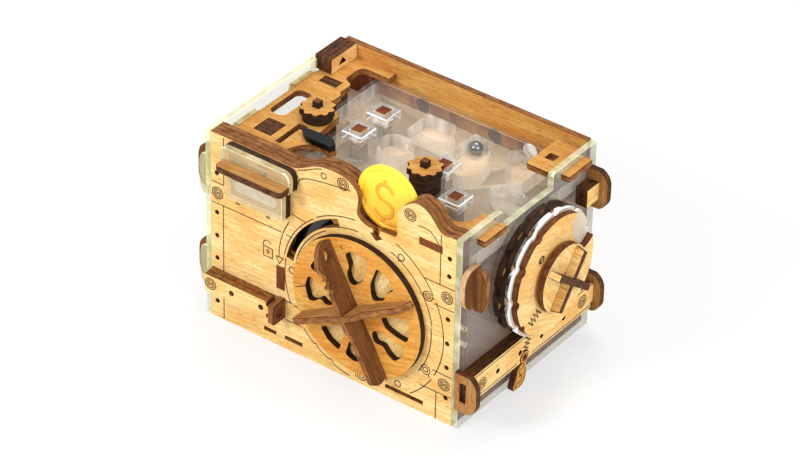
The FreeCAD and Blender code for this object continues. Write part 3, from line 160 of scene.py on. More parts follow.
def sheet_space(tree, facing, grain=0.0):
    """Object coordinates and normal, turned so that x runs along the grain and z through the sheet."""
    spin = Matrix.Rotation(math.radians(grain), 3, "Z")
    back = tuple((FACINGS[facing] @ spin).inverted().to_euler())
    place = add_node(tree, "ShaderNodeTexCoord", output="Object")
    normal = add_node(tree, "ShaderNodeTexCoord", output="Normal")
    place = add_node(tree, "ShaderNodeMapping", {"Vector": place, "Rotation": back})
    normal = add_node(tree, "ShaderNodeMapping", {"Vector": normal, "Rotation": back})
    return place, normal


def streaks(tree, place, lengths, detail=2.0, roughness=0.5):
    """Noise whose features have these lengths in millimetres along, across and through the sheet."""
    scales = tuple(METRE / length for length in lengths)
    stretched = add_node(tree, "ShaderNodeMapping", {"Vector": place, "Scale": scales})
    return add_node(tree, "ShaderNodeTexNoise", {
        "Vector": stretched, "Scale": 1.0, "Detail": detail, "Roughness": roughness})


def squareness(tree, normal):
    """How squarely the surface faces through the sheet, from 0 on a cut edge to 1 on a face."""
    through = add_node(tree, "ShaderNodeSeparateXYZ", {"Vector": normal}, output="Z")
    return add_node(tree, "ShaderNodeMath", {0: through}, ABSOLUTE)


def sheet_depth(tree, place, facing, seat):
    """Depth through a stack of sheets in sheets, counted from a point on a face of one."""
    seat_depth = (FACINGS[facing].inverted() @ Vector(metres(seat))).z * METRE
    through = add_node(tree, "ShaderNodeSeparateXYZ", {"Vector": place}, output="Z")
    return add_node(tree, "ShaderNodeMath", {
        0: through, 1: METRE / SHEET, 2: -seat_depth / SHEET}, MULTIPLY_ADD)


def birch_face(tree, place, wood):
    """Long soft grain bands, warm patches where the beam heated the veneer, and short pores along the grain.

    Real birch pores are finer than a pixel of the render, so they are drawn as coarse as they need to show.
    """
    bands = streaks(tree, place, (22.0, 1.3, 1.3), 3.0, 0.6)
    clouds = streaks(tree, place, (26.0, 9.0, 9.0))
    tone = add_node(tree, "ShaderNodeMix", {0: 0.4, 2: bands, 3: clouds})
    colour = add_node(tree, "ShaderNodeValToRGB", {"Fac": tone}, stops=wood["face"])
    patches = streaks(tree, place, (17.0, 11.0, 11.0), 3.0)
    warmth = add_node(tree, "ShaderNodeMapRange", {
        "Value": patches, "From Min": 0.5, "From Max": 0.68, "To Max": 0.5})
    colour = add_node(tree, "ShaderNodeMix", {0: warmth, 6: colour, 7: linear(wood["scorch"])}, COLOURS, 2)
    strokes = streaks(tree, place, (3.6, 0.42, 0.42), 2.0, 0.55)
    fine = streaks(tree, place, (1.5, 0.24, 0.24), 1.0)
    long_pores = add_node(tree, "ShaderNodeMapRange", {
        "Value": strokes, "From Min": 0.54, "From Max": 0.68, "To Max": 0.6})
    short_pores = add_node(tree, "ShaderNodeMapRange", {
        "Value": fine, "From Min": 0.58, "From Max": 0.7, "To Max": 0.45})
    pores = add_node(tree, "ShaderNodeMath", {0: long_pores, 1: short_pores}, LARGER)
    colour = add_node(tree, "ShaderNodeMix", {0: pores, 6: colour, 7: linear(wood["pore"])}, COLOURS, 2)
    return colour, strokes


def charred_edge(tree, place, depth, edge):
    """Burnt plies with a dark seam where two sheets meet, and soot that varies along the cut.

    The tone is 0.72 of the soot and 0.16 of the plies less 0.02, times the seam, which is 1 away from it.
    """
    share = add_node(tree, "ShaderNodeMath", {0: depth}, {"operation": "FRACT"})
    to_seam = add_node(tree, "ShaderNodeMath", {0: share, 1: 0.5}, {"operation": "PINGPONG"})
    seam = add_node(tree, "ShaderNodeMapRange", {
        "Value": to_seam, "From Min": 0.02, "From Max": 0.13, "To Min": 0.3, "To Max": 1.0})
    wave = add_node(tree, "ShaderNodeMath", {0: share, 1: 3 * math.pi}, MULTIPLY)
    wave = add_node(tree, "ShaderNodeMath", {0: wave}, {"operation": "SINE"})
    plies = add_node(tree, "ShaderNodeMath", {0: wave}, ABSOLUTE)
    soot = streaks(tree, place, (4.0, 4.0, 1.6), 4.0, 0.6)
    base = add_node(tree, "ShaderNodeMath", {0: plies, 1: 0.16, 2: -0.02}, MULTIPLY_ADD)
    tone = add_node(tree, "ShaderNodeMath", {0: soot, 1: 0.72, 2: base}, MULTIPLY_ADD)
    tone = add_node(tree, "ShaderNodeMath", {0: tone, 1: seam}, MULTIPLY)
    return add_node(tree, "ShaderNodeValToRGB", {"Fac": tone}, stops=edge)


# Least squareness of a plywood face, of an acrylic face and of an acrylic rim
PLYWOOD_FACE = 0.9
ACRYLIC_FACE = 0.95
ACRYLIC_RIM = 0.2


def plywood(name, facing, grain, wood, edge, seat):
    """Birch plywood cut by laser: a dry, finely grained face, and charred edges that show the plies."""
    material, tree, shader = start_material(name)
    place, normal = sheet_space(tree, facing, grain)
    face_colour, strokes = birch_face(tree, place, wood)
    edge_colour = charred_edge(tree, place, sheet_depth(tree, place, facing, seat), edge)
    on_face = add_node(tree, "ShaderNodeMath", {0: squareness(tree, normal), 1: PLYWOOD_FACE}, ABOVE)
    colour = add_node(tree, "ShaderNodeMix", {0: on_face, 6: edge_colour, 7: face_colour}, COLOURS, 2)
    tree.links.new(colour, shader.inputs["Base Color"])
    shader.inputs["Roughness"].default_value = 0.65
    shader.inputs["Specular IOR Level"].default_value = 0.15
    bump = add_node(tree, "ShaderNodeBump", {"Height": strokes, "Strength": 0.3, "Distance": 0.0002})
    tree.links.new(bump, shader.inputs["Normal"])
    return material


# Each wood: face colours from the darkest grain to the lightest, then scorched patches and pores
PALE_BIRCH = {
    "face": [(0.28, "#D7A45A"), (0.43, "#EABF75"), (0.55, "#F3D08B"), (0.72, "#F9E2AD")],
    "scorch": "#E8A44C",
    "pore": "#A96A28",
}
WARM_BIRCH = {
    "face": [(0.28, "#B8742A"), (0.43, "#D2913C"), (0.55, "#E1A64D"), (0.72, "#EEC072")],
    "scorch": "#DE8A34",
    "pore": "#97541D",
}
# A darker copy of the birch for level faces and the back plate: painted shade, as they catch less light than
# the front
SHADED_TOP_BIRCH = {
    "face": [(0.28, "#B47834"), (0.43, "#CA9047"), (0.55, "#D6A156"), (0.72, "#E2B26B")],
    "scorch": "#C27830",
    "pore": "#8E5220",
}
SHADED_BIRCH = {
    "face": [(0.28, "#8C5C2C"), (0.43, "#A4733E"), (0.55, "#B6854E"), (0.72, "#CA9C64")],
    "scorch": "#8E5526",
    "pore": "#5E3414",
}
TAN_BIRCH = {
    "face": [(0.28, "#946531"), (0.43, "#AC7B41"), (0.55, "#BE8D51"), (0.72, "#D3A76C")],
    "scorch": "#9F6A30",
    "pore": "#7A4A1E",
}
HATCHED_BIRCH = {
    "face": [(0.28, "#A86C30"), (0.43, "#D29D54"), (0.55, "#ECC37C"), (0.72, "#F8DFA6")],
    "scorch": "#C98A40",
    "pore": "#6E3F1A",
}
# A paler copy of the birch for the maze floor: painted light, making up for the shade under the acrylic
LIT_MAZE_BIRCH = {
    "face": [(0.28, "#F0D0A8"), (0.43, "#FADFBE"), (0.55, "#FEE8CE"), (0.72, "#FFF2E2")],
    "scorch": "#F0CC9E",
    "pore": "#D2A67A",
}
WALNUT_STAIN = {
    "face": [(0.28, "#4E2C14"), (0.43, "#69401F"), (0.55, "#7D4F29"), (0.72, "#966438")],
    "scorch": "#5E3518",
    "pore": "#331A0B",
}
RED_STAIN = {
    "face": [(0.28, "#5A2C15"), (0.43, "#70391B"), (0.55, "#854722"), (0.72, "#9C5A30")],
    "scorch": "#643014",
    "pore": "#2C130A",
}
# Each edge: colours from the burnt seam to the lightest ply
BROWN_EDGE = [(0.1, "#241107"), (0.26, "#522B13"), (0.4, "#7B4923"), (0.58, "#A8733F")]
TAN_EDGE = [(0.1, "#7E5330"), (0.26, "#A87C50"), (0.4, "#C39A70"), (0.58, "#DCB991")]
DARK_EDGE = [(0.1, "#0E0704"), (0.26, "#2C170B"), (0.4, "#472712"), (0.58, "#714624")]
RED_EDGE = [(0.1, "#160A05"), (0.26, "#371A0C"), (0.4, "#582E17"), (0.58, "#84502B")]
BLACK_EDGE = [(0.1, "#080403"), (0.26, "#180E08"), (0.4, "#2A180D"), (0.58, "#452A17")]


def polished_share(tree, least, most):
    """Share of a polished surface's painted haze of reflection: least seen head on, most at a grazing view.
    """
    facing = add_node(tree, "ShaderNodeLayerWeight", {"Blend": 0.5}, output="Facing")
    rise = add_node(tree, "ShaderNodeMath", {0: facing, 1: 4.0}, {"operation": "POWER"})
    return add_node(tree, "ShaderNodeMapRange", {"Value": rise, "To Min": least, "To Max": most})


# Acrylic: its gloss, and how much more of a face's painted haze of reflection shows at a grazing view than
# head on
ACRYLIC_ROUGHNESS = 0.1
ACRYLIC_IOR = 1.49
GRAZING_GAIN = 0.4


def clear_acrylic(name, facing, face, rim, wall, dark_reflection):
    """Cast acrylic sheet cut by laser: clear polished faces with a pale haze of painted reflection, rims
    painted pale as highlights, and glassy cut walls painted with highlights and reflection.

    Face, rim, wall and the dark streak are each a colour and the share of it that hides what lies behind. The
    walls change in upright streaks between the wall's values and the dark streak's, a painted reflection of
    the lighter and darker things they mirror.
    """
    material, tree, shader = start_material(name)
    place, normal = sheet_space(tree, facing)
    square = squareness(tree, normal)
    on_face = add_node(tree, "ShaderNodeMath", {0: square, 1: ACRYLIC_FACE}, ABOVE)
    on_rim = add_node(tree, "ShaderNodeMath", {0: square, 1: ACRYLIC_RIM}, ABOVE)
    streak = streaks(tree, place, (5.5, 5.5, 30.0), 1.0)
    streak = add_node(tree, "ShaderNodeMapRange", {"Value": streak, "From Min": 0.34, "From Max": 0.62})
    colour = add_node(tree, "ShaderNodeMix", {0: streak, 6: linear(wall[0]), 7: linear(dark_reflection[0])}, COLOURS, 2)
    colour = add_node(tree, "ShaderNodeMix", {0: on_rim, 6: colour, 7: linear(rim[0])}, COLOURS, 2)
    colour = add_node(tree, "ShaderNodeMix", {0: on_face, 6: colour, 7: linear(face[0])}, COLOURS, 2)
    tree.links.new(colour, shader.inputs["Base Color"])
    shader.inputs["Roughness"].default_value = ACRYLIC_ROUGHNESS
    shader.inputs["IOR"].default_value = ACRYLIC_IOR
    share = add_node(tree, "ShaderNodeMix", {0: streak, 2: wall[1], 3: dark_reflection[1]})
    share = add_node(tree, "ShaderNodeMix", {0: on_rim, 2: share, 3: rim[1]})
    face_share = polished_share(tree, face[1], min(1.0, face[1] + GRAZING_GAIN))
    share = add_node(tree, "ShaderNodeMix", {0: on_face, 2: share, 3: face_share})
    clear = add_node(tree, "ShaderNodeBsdfTransparent", {"Color": linear("#FBFBF9")})
    whole = add_node(tree, "ShaderNodeMixShader", {0: share, 1: clear, 2: shader.outputs["BSDF"]})
    tree.links.new(whole, tree.nodes["Material Output"].inputs["Surface"])
    return material


# Each smooth finish: colour, roughness, metallic and specular level
SMOOTH_FINISHES = {
    # Cast black sheet, polished: deep black with sharp lights
    "black acrylic strip": ("#0A0A0C", 0.12, 0.0, 0.5),
    # The same sheet with a handled face: black with a dim, wide light
    "black acrylic hook": ("#050707", 0.35, 0.0, 0.2),
    # Wood burnt by the beam: dry dark brown; the spots are a like dark brown laid over two holes of the back
    # plate
    "burnt engraving": ("#472A10", 0.8, 0.0, 0.5),
    "dark spot": ("#4A2E18", 0.8, 0.0, 0.5),
    # A thin sheet in the slider's slot: even pale grey with a soft sheen, a painted reflection
    "painted slot reflection": ("#BDBDC2", 0.3, 0.0, 0.5),
    # Ground and polished ball: a mirror of what stands round it
    "polished steel": ("#7F878C", 0.08, 1.0, 0.5),
}
CLOUD_SIZE = 4.0


def smooth_finish(name):
    """A smooth finish whose colour and gloss are slightly uneven, over clouds of a few millimetres."""
    colour, roughness, metallic, specular = SMOOTH_FINISHES[name]
    material, tree, shader = start_material(name)
    place = add_node(tree, "ShaderNodeTexCoord", output="Object")
    clouds = add_node(tree, "ShaderNodeTexNoise", {
        "Vector": place, "Scale": METRE / CLOUD_SIZE, "Detail": 3.0})
    rough = add_node(tree, "ShaderNodeMapRange", {
        "Value": clouds, "To Min": roughness * 0.7, "To Max": roughness * 1.3})
    deep = tuple(value * 0.7 for value in linear(colour)[:3])
    pale = tuple(min(1.0, value * 1.3) for value in linear(colour)[:3])
    tone = add_node(tree, "ShaderNodeMapRange", {"Value": clouds, "From Min": 0.3, "From Max": 0.7})
    tone = add_node(tree, "ShaderNodeMix", {0: tone, 6: (*deep, 1.0), 7: (*pale, 1.0)}, COLOURS, 2)
    tree.links.new(tone, shader.inputs["Base Color"])
    shader.inputs["Metallic"].default_value = metallic
    shader.inputs["Specular IOR Level"].default_value = specular
    tree.links.new(rough, shader.inputs["Roughness"])
    return material


# Size of the gold's clouds in millimetres, how far in metres they shift its change of colour up, and the
# heights in metres between which the colour changes, from painted shade at the foot to a painted highlight at
# the top
GOLD_CLOUD_SIZE = 11.0
GOLD_DRIFT = 0.008
GOLD_FOOT_HEIGHT = 0.087
GOLD_TOP_HEIGHT = 0.11


def gold_colour(name, top, foot):
    """Gold-coloured plated coin with a soft polish: a painted highlight of lemon yellow above, and painted
    shade of warmer gold toward its foot.
    """
    material, tree, shader = start_material(name)
    place = add_node(tree, "ShaderNodeTexCoord", output="Object")
    height = add_node(tree, "ShaderNodeSeparateXYZ", {"Vector": place}, output="Z")
    clouds = add_node(tree, "ShaderNodeTexNoise", {
        "Vector": place, "Scale": METRE / GOLD_CLOUD_SIZE, "Detail": 2.0})
    drift = add_node(tree, "ShaderNodeMath", {0: clouds, 1: GOLD_DRIFT}, MULTIPLY)
    height = add_node(tree, "ShaderNodeMath", {0: height, 1: drift}, ADD)
    rise = add_node(tree, "ShaderNodeMapRange", {
        "Value": height, "From Min": GOLD_FOOT_HEIGHT, "From Max": GOLD_TOP_HEIGHT})
    colour = add_node(tree, "ShaderNodeMix", {0: rise, 6: foot, 7: top}, COLOURS, 2)
    tree.links.new(colour, shader.inputs["Base Color"])
    rough = add_node(tree, "ShaderNodeMapRange", {"Value": clouds, "To Min": 0.24, "To Max": 0.4})
    tree.links.new(rough, shader.inputs["Roughness"])
    shader.inputs["Metallic"].default_value = 0.2
    shader.inputs["Coat Weight"].default_value = 0.15
    return material


# Each row: finish name, facing, grain in degrees, face, edge, a point on a face of the sheets, and its nodes
PLYWOOD = [
    ("birch plywood front", "front", 2, PALE_BIRCH, BROWN_EDGE, (0, 0, 0), [
        "front_panel", "second_front_panel", "third_front_panel", "front_beam"]),
    ("birch plywood key", "front", 90, WARM_BIRCH, BROWN_EDGE, (0, 5, 0), ["slider_key"]),
    ("birch plywood slider", "front", 2, PALE_BIRCH, BLACK_EDGE, (0, -3.3, 0), ["slider_plate"]),
    ("birch plywood back", "front", 3, SHADED_TOP_BIRCH, BROWN_EDGE, (0, 93.4, 0), ["back_panel"]),
    ("birch plywood keepers", "front", 90, SHADED_BIRCH, DARK_EDGE, (0, -3, 0), ["right_keepers"]),
    ("birch plywood wheel", "front", 14, WARM_BIRCH, BLACK_EDGE, (0, -3.3, 0), ["wheel_disc"]),
    ("birch plywood hub", "front", 62, PALE_BIRCH, DARK_EDGE, (0, -0.3, 0), ["wheel_hub_disc"]),
    ("birch plywood carrier", "front", 40, WARM_BIRCH, DARK_EDGE, (0, 3.3, 0), [
        "coin_carrier", "wheel_washers", "wheel_spindle"]),
    ("stained plywood clips", "front", 90, WALNUT_STAIN, BROWN_EDGE, (0, 5, 0), [
        "left_clips", "upper_front_keeper"]),
    # This row's dark edge is burnt plies, darkened further as painted shade along the beams' tops
    ("birch plywood side", "side", 3, PALE_BIRCH, DARK_EDGE, (133, 0, 0), [
        "right_beam_inner", "right_beam_outer", "upper_back_key", "dial_retainer", "dial_hub",
        "corner_block"]),
    ("stained plywood key", "side", 90, WALNUT_STAIN, TAN_EDGE, (133, 0, 0), ["upper_front_key"]),
    ("birch plywood tail", "side", 70, WARM_BIRCH, DARK_EDGE, (136.3, 0, 0), ["tail_lever"]),
    ("stained plywood keeper", "side", 90, WALNUT_STAIN, BROWN_EDGE, (37.8, 0, 0), ["front_keeper"]),
    ("birch plywood dial", "side", -20, PALE_BIRCH, RED_EDGE, (144.3, 0, 0), ["dial_face"]),
    # The notched discs' edges are burnt plies, darkened to the blackest palette as painted shade
    ("notched plywood dial", "side", 0, SHADED_BIRCH, BLACK_EDGE, (135.8, 0, 0), ["dial_lobed_discs"]),
    ("birch plywood knob", "side", -55, PALE_BIRCH, RED_EDGE, (149, 0, 0), [
        "knob_disc", "knob_washers", "knob_spindle"]),
    ("birch plywood knob fins", "knob fins", 90, HATCHED_BIRCH, DARK_EDGE, (0, 47.01, 60.61), ["knob_fins"]),
    ("birch plywood top", "level", 4, SHADED_TOP_BIRCH, BROWN_EDGE, (0, 0, 86.5), [
        "base_panel", "top_left_plate", "corner_plates"]),
    ("birch plywood maze floor", "level", 4, LIT_MAZE_BIRCH, BROWN_EDGE, (0, 0, 72.2), ["maze_floor"]),
    ("birch plywood thumb wheels", "level", 30, SHADED_TOP_BIRCH, BLACK_EDGE, (0, 0, 92.8), [
        "left_gear", "centre_gear"]),
    ("birch plywood ledge", "level", 2, TAN_BIRCH, DARK_EDGE, (0, 0, 87.8), ["slider_ledge"]),
    ("stained plywood pins", "level", 0, WALNUT_STAIN, BLACK_EDGE, (0, 0, 0), [
        "left_gear_spindle", "centre_gear_spindle"]),
    ("stained plywood posts", "level", 20, RED_STAIN, TAN_EDGE, (0, 0, 0), ["maze_posts"]),
    ("charred plywood ends", "front", 90, RED_STAIN, DARK_EDGE, (0, 0, 0), [
        "top_left_tenons", "top_left_walls", "front_tenons", "fixed_pins"]),
    ("stained plywood long fin", "long fin", 0, WALNUT_STAIN, BROWN_EDGE, (80.08, 0, 40.79), [
        "wheel_long_fin"]),
    ("birch plywood cross fin", "cross fin", 0, SHADED_BIRCH, BROWN_EDGE, (80.69, 0, 42.82), [
        "wheel_cross_fin"]),
]

# Each row: finish name, facing, bevel in millimetres and nodes, then the colour and share of face, rim, wall
# and dark streak. Rims and walls are painted highlights and reflection, the dark streak is painted reflection
# of darker things, and the faces' haze is painted reflection and light; the dial disc's cream face paints lit
# wood seen through it.
ACRYLIC = [
    ("clear acrylic maze cover", "level", 0.2, ["maze_cover"],
     ("#EDEAF0", 0.03), ("#FFFFFF", 0.35), ("#FFFFFF", 0.16), ("#8F8E92", 0.08)),
    ("clear acrylic maze plate", "level", 0.5, ["maze_plate"],
     ("#FBF6F6", 0.07), ("#FFFFFF", 1.0), ("#FFFFFF", 0.7), ("#F4EEEA", 0.25)),
    ("clear acrylic collars", "level", 0.45, ["post_collars"],
     ("#F8F8F8", 0.14), ("#FFFFFF", 1.0), ("#FCFAF6", 0.65), ("#E8E0D8", 0.2)),
    ("clear acrylic left side", "side", 0.35, ["left_side_panel"],
     ("#E9E8D8", 0.08), ("#F6F4BE", 0.9), ("#F4F0B4", 0.62), ("#D2CE88", 0.5)),
    ("clear acrylic right side", "side", 0.35, ["right_side_panel"],
     ("#BDB6AE", 0.22), ("#F8F5D0", 0.9), ("#F6F2CC", 0.6), ("#DEDAA6", 0.48)),
    ("clear acrylic left clips", "front", 0.35, ["left_clear_clips"],
     ("#EAE4A6", 0.34), ("#F4F3CC", 0.9), ("#EEEDB4", 0.55), ("#AAAA62", 0.45)),
    ("clear acrylic slider", "front", 0.16, ["slider_sheets"],
     ("#FDEBC2", 0.2), ("#EFEBC8", 0.8), ("#EDE8BE", 0.45), ("#B4AE7C", 0.4)),
    ("clear acrylic base ring", "side", 0.22, ["dial_base_ring"],
     ("#E6E2DC", 0.02), ("#E8E6DE", 0.08), ("#E8E6DE", 0.04), ("#A09A90", 0.03)),
    ("clear acrylic dial disc", "side", 0.2, ["dial_clear_disc"],
     ("#FCEBD0", 0.6), ("#FFFFFF", 0.9), ("#FFFFFF", 0.85), ("#4C3A2E", 0.2)),
]
WOOD_BEVEL = 0.16


def dress(nodes, material, soften=WOOD_BEVEL):
    """Give each named CAD node one material, and break its sharp edges by a small bevel in millimetres."""
    for name in nodes:
        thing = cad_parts[name]
        thing.data.materials.clear()
        thing.data.materials.append(material)
        weld = thing.modifiers.new("join", "WELD")
        weld.merge_threshold = 1e-6
        flat = thing.modifiers.new("flat faces", "DECIMATE")
        flat.decimate_type = "DISSOLVE"
        flat.angle_limit = math.radians(0.5)
        bevel = thing.modifiers.new("edges", "BEVEL")
        bevel.width = soften / METRE
        bevel.segments = 1
        bevel.limit_method = "ANGLE"
        bevel.angle_limit = math.radians(40)


# Surfaces worked out on grids

def make_piece(name, points, faces, material, body, smooth_angle=None):
    """A mesh piece from points in box millimetres and faces, riding on a body."""
    mesh = bpy.data.meshes.new(name)
    mesh.from_pydata(metres(points).tolist(), [], faces)
    mesh.materials.append(material)
    if smooth_angle:
        mesh.shade_smooth()
        mesh.set_sharp_from_angle(angle=math.radians(smooth_angle))
    piece = bpy.data.objects.new(name, mesh)
    bpy.context.scene.collection.objects.link(piece)
    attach(piece, body)
    return piece


def grid_faces(rows, columns, closed_rows, closed_columns):
    """Quads between neighbouring points of a grid, joined round where it closes."""
    row = np.arange(rows if closed_rows else rows - 1)
    column = np.arange(columns if closed_columns else columns - 1)
    i, j = np.meshgrid(row, column, indexing="ij")
    near, far = (i + 1) % rows, (j + 1) % columns
    quads = np.stack([i * columns + j, near * columns + j, near * columns + far, i * columns + far], axis=-1)
    return quads.reshape(-1, 4)


def revolved(radius, height, steps):
    """Surface of revolution: point (r, h) goes to (r cos a, r sin a, h) for each angle a of a full turn.

    The profile starts and ends on the axis, where its rows close to one point.
    """
    angles = np.linspace(0, 2 * np.pi, steps, endpoint=False)
    rings = np.stack([np.outer(np.cos(angles), radius[1:-1]), np.outer(np.sin(angles), radius[1:-1]),
                      np.tile(height[1:-1], (steps, 1))], axis=-1)
    count = len(radius) - 2
    points = np.concatenate([rings.reshape(-1, 3), [[0, 0, height[0]], [0, 0, height[-1]]]])
    faces = grid_faces(steps, count, True, False).tolist()
    ring = np.arange(steps)
    after = (ring + 1) % steps
    first, last = steps * count, steps * count + 1
    inner, outer = ring * count, ring * count + count - 1
    faces += np.stack([np.full(steps, first), after * count, inner], axis=-1).tolist()
    faces += np.stack([np.full(steps, last), outer, after * count + count - 1], axis=-1).tolist()
    return points, faces


# Least cosine of half the turn at a path's corner, so that a sharp corner isn't drawn out to a spike
MITRE_LEAST = 0.4


def carried(section, path, closed):
    """A section (a across, h up) carried along a flat path: point P(s) + a N(s) at height h.

    N is the unit normal to the left of the path, mitred at its corners so that the width stays the same.
    """
    path = np.asarray(path, float)
    ahead = np.roll(path, -1, axis=0) - path
    behind = path - np.roll(path, 1, axis=0)
    if not closed:
        ahead[-1] = behind[-1]
        behind[0] = ahead[0]
    ahead /= np.linalg.norm(ahead, axis=1, keepdims=True)
    behind /= np.linalg.norm(behind, axis=1, keepdims=True)
    normals = np.stack([-(ahead + behind)[:, 1], (ahead + behind)[:, 0]], axis=-1)
    normals /= np.maximum(np.linalg.norm(normals, axis=1, keepdims=True), 1e-9)
    side = np.stack([-ahead[:, 1], ahead[:, 0]], axis=-1)
    normals /= np.maximum(np.sum(normals * side, axis=1, keepdims=True), MITRE_LEAST)
    section = np.asarray(section, float)
    flat = path[:, None, :] + section[None, :, :1] * normals[:, None, :]
    high = np.tile(section[:, 1], (len(path), 1))[:, :, None]
    points = np.concatenate([flat, high], axis=2).reshape(-1, 3)
    count = len(section)
    faces = grid_faces(len(path), count, closed, True).tolist()
    if not closed:
        faces.append(list(range(count)))
        faces.append(list(range(len(path) * count - 1, (len(path) - 1) * count - 1, -1)))
    return points, faces


def on_front(points, face):
    """Points (u, v, height) on a sheet that faces the front: x = u, z = v, and height toward -Y."""
    return np.stack([points[:, 0], face - points[:, 2], points[:, 1]], axis=-1)


def on_side(points, face):
    """Points (u, v, height) on a sheet that faces right: y = u, z = v, and height toward +X."""
    return np.stack([face + points[:, 2], points[:, 0], points[:, 1]], axis=-1)


# Engraved lines, bolt heads and signs

# Degrees times radius between two points of an arc, which is about one millimetre along it
ARC_STEP = 60.0


def arc(middle, radius, start, end, steps=None):
    """Points at equal angles a on a circle's arc: (u + r cos a, v + r sin a), from start to end degrees."""
    count = steps or max(4, int(abs(end - start) * radius / ARC_STEP) + 3)
    angles = np.radians(np.linspace(start, end, count))
    return np.stack([middle[0] + radius * np.cos(angles), middle[1] + radius * np.sin(angles)], axis=-1)


def ring(middle, radius):
    """A full circle as a closed stroke."""
    return arc(middle, radius, 0, 337.5, 16), True


def line(*points):
    """Straight pieces from point to point as an open stroke."""
    return np.array(points, float), False


def bent(middle, radius, start, end):
    """Part of a circle as an open stroke."""
    return arc(middle, radius, start, end), False


def bolt_head(middle):
    """Two rings, a broken third ring and a small cross, as on an engraved screw head."""
    u, v = middle
    return [
        ring(middle, 2.9),
        ring(middle, 2.0),
        bent(middle, 1.2, 100, 250),
        bent(middle, 1.2, 290, 420),
        line((u - 0.6, v - 0.3), (u + 0.6, v + 0.3)),
        line((u - 0.3, v + 0.6), (u + 0.3, v - 0.6)),
    ]


def pointer_ring(middle, toward, outer=1.6, inner=None):
    """A ring with a short tick toward a place, and a second ring in it where it is a large one."""
    away = np.subtract(toward, middle)
    away = away / np.linalg.norm(away)
    start = np.add(middle, away * outer)
    strokes = [ring(middle, outer), line(start, start + away * 1.5)]
    if inner:
        strokes.append(ring(middle, inner))
    return strokes


def zigzag(start, end, width, teeth):
    """A line that swings from side to side between two rails, width apart, along start to end."""
    start, end = np.array(start, float), np.array(end, float)
    along = (end - start) / np.linalg.norm(end - start)
    across = np.array([-along[1], along[0]]) * width / 2
    steps = np.linspace(0, 1, teeth * 2)
    sides = np.where(np.arange(teeth * 2) % 2 == 0, 1.0, -1.0)
    return start + np.outer(steps, end - start) + np.outer(sides, across), False


BOLD_SHIFT = (0.4, 0.1)


def bold(stroke):
    """A stroke drawn twice side by side, for a broader line."""
    path, closed = stroke
    return [(path, closed), (path + BOLD_SHIFT, closed)]


def front_marks():
    """Strokes on the front wall: plank and column lines, arcs round the wheel, bolts, arrow and padlock."""
    wheel = WHEEL_AXIS
    return [
        line((6.8, 0.4), (6.8, 60.3)),
        line((7.1, 71.2), (7.1, 95.6)),
        line((0.3, 71.1), (7.1, 71.1)),
        line((0.3, 60.3), (38.9, 60.5)),
        line((40.9, 60.3), (44.4, 59.9)),
        line((43.7, 72.4), (51.4, 71.1)),
        line((0.3, 25.8), (44.7, 25.5)),
        line((40.6, 15.4), (50.0, 15.6)),
        line((46.6, 85.5), (46.9, 88.6), (48.0, 91.4), (49.7, 92.7), (53.6, 94.2), (60.0, 95.4), (69.5, 96.7),
             (75.2, 97.3)),
        line((47.2, 96.2), (50.2, 97.2), (54.0, 99.3), (57.0, 100.9), (60.0, 101.9)),
        ring((60.9, 98.9), 1.4),
        line((110.3, 95.2), (114.0, 95.4), (116.6, 94.8), (119.0, 92.8), (121.8, 89.2)),
        line((122.1, 95.6), (122.1, 70.5)),
        line((114.0, 70.3), (129.6, 70.5)),
        line((119.6, 59.4), (129.6, 59.4)),
        line((119.4, 25.1), (129.6, 25.0)),
        line((113.3, 14.3), (129.6, 14.6)),
        line((121.7, 14.5), (121.7, 0.4)),
        bent((78.2, 47.0), 41.0, 150, 180),
        line((35.7, 47.0), (39.4, 47.0), (37.4, 43.4), (35.7, 47.0)),
        bent(wheel, 42.3, 95, 125),
        bent(wheel, 42.0, 128, 169),
        bent(wheel, 37.0, 93, 120),
        bent(wheel, 35.6, 122, 167),
        bent(wheel, 40.9, 171, 203),
        bent(wheel, 43.4, -52, -30),
        bent(wheel, 43.4, -26, 26),
        bent(wheel, 43.4, 30, 66),
        bent(wheel, 37.6, 9, 66),
        bent(wheel, 37.0, -34, 7),
        line(*arc(wheel, 40.2, 220, 229), (56.6, 10.0), (57.7, 10.4), (58.6, 8.6)),
        line((58.6, 8.6), *arc(wheel, 40.0, 236, 243), (64.8, 5.4), (65.9, 5.9), (67.0, 4.4)),
        line((67.0, 4.4), *arc(wheel, 40.3, 250, 262)),
        *[bolt_part for place in [(3.7, 65.8), (71.0, 99.0), (106.1, 98.6), (126.0, 65.2), (125.6, 19.9)]
          for bolt_part in bolt_head(place)],
        *pointer_ring((44.3, 43.0), wheel),
        *pointer_ring((101.9, 75.2), wheel),
        *pointer_ring((116.1, 61.8), (122.0, 62.0), 2.4, 1.2),
        *pointer_ring((115.9, 23.5), (119.0, 19.0), 2.4, 1.2),
        ring((101.6, 9.3), 1.5),
        ring((82.4, 4.4), 2.2),
        ring((82.4, 4.4), 1.1),
        bent((82.4, 4.4), 3.3, 150, 215),
        bent((82.4, 4.4), 3.3, -35, 30),
        bent((46.6, 24.2), 0.9, 180, 0),
        bent((48.6, 24.2), 0.9, 180, 0),
        bent((14.7, 64.6), 0.9, 0, 180),
        line((13.8, 64.6), (15.6, 64.6)),
        bent((31.2, 64.6), 0.9, 0, 180),
        line((30.3, 64.6), (32.1, 64.6)),
        line((28.8, 44.4), (33.7, 44.4), (33.7, 49.3), (28.8, 49.3), (28.8, 44.4)),
        bent((30.9, 50.6), 2.2, 25, 205),
        ring((31.2, 47.4), 0.7),
        line((31.2, 46.8), (31.2, 45.6)),
    ]


def beam_marks():
    """Strokes on the right beam: two bolts, a line along each edge, and teeth that run down to the tail."""
    return [
        *bolt_head((82.4, 22.4)),
        *bolt_head((9.0, 21.5)),
        line((3.6, 27.7), (88.4, 27.7)),
        line((3.6, 16.8), (34.6, 16.8)),
        line((45.0, 16.8), (88.4, 16.8)),
        *bold(zigzag((42.4, 27.4), (39.9, 20.6), 4.0, 4)),
    ]


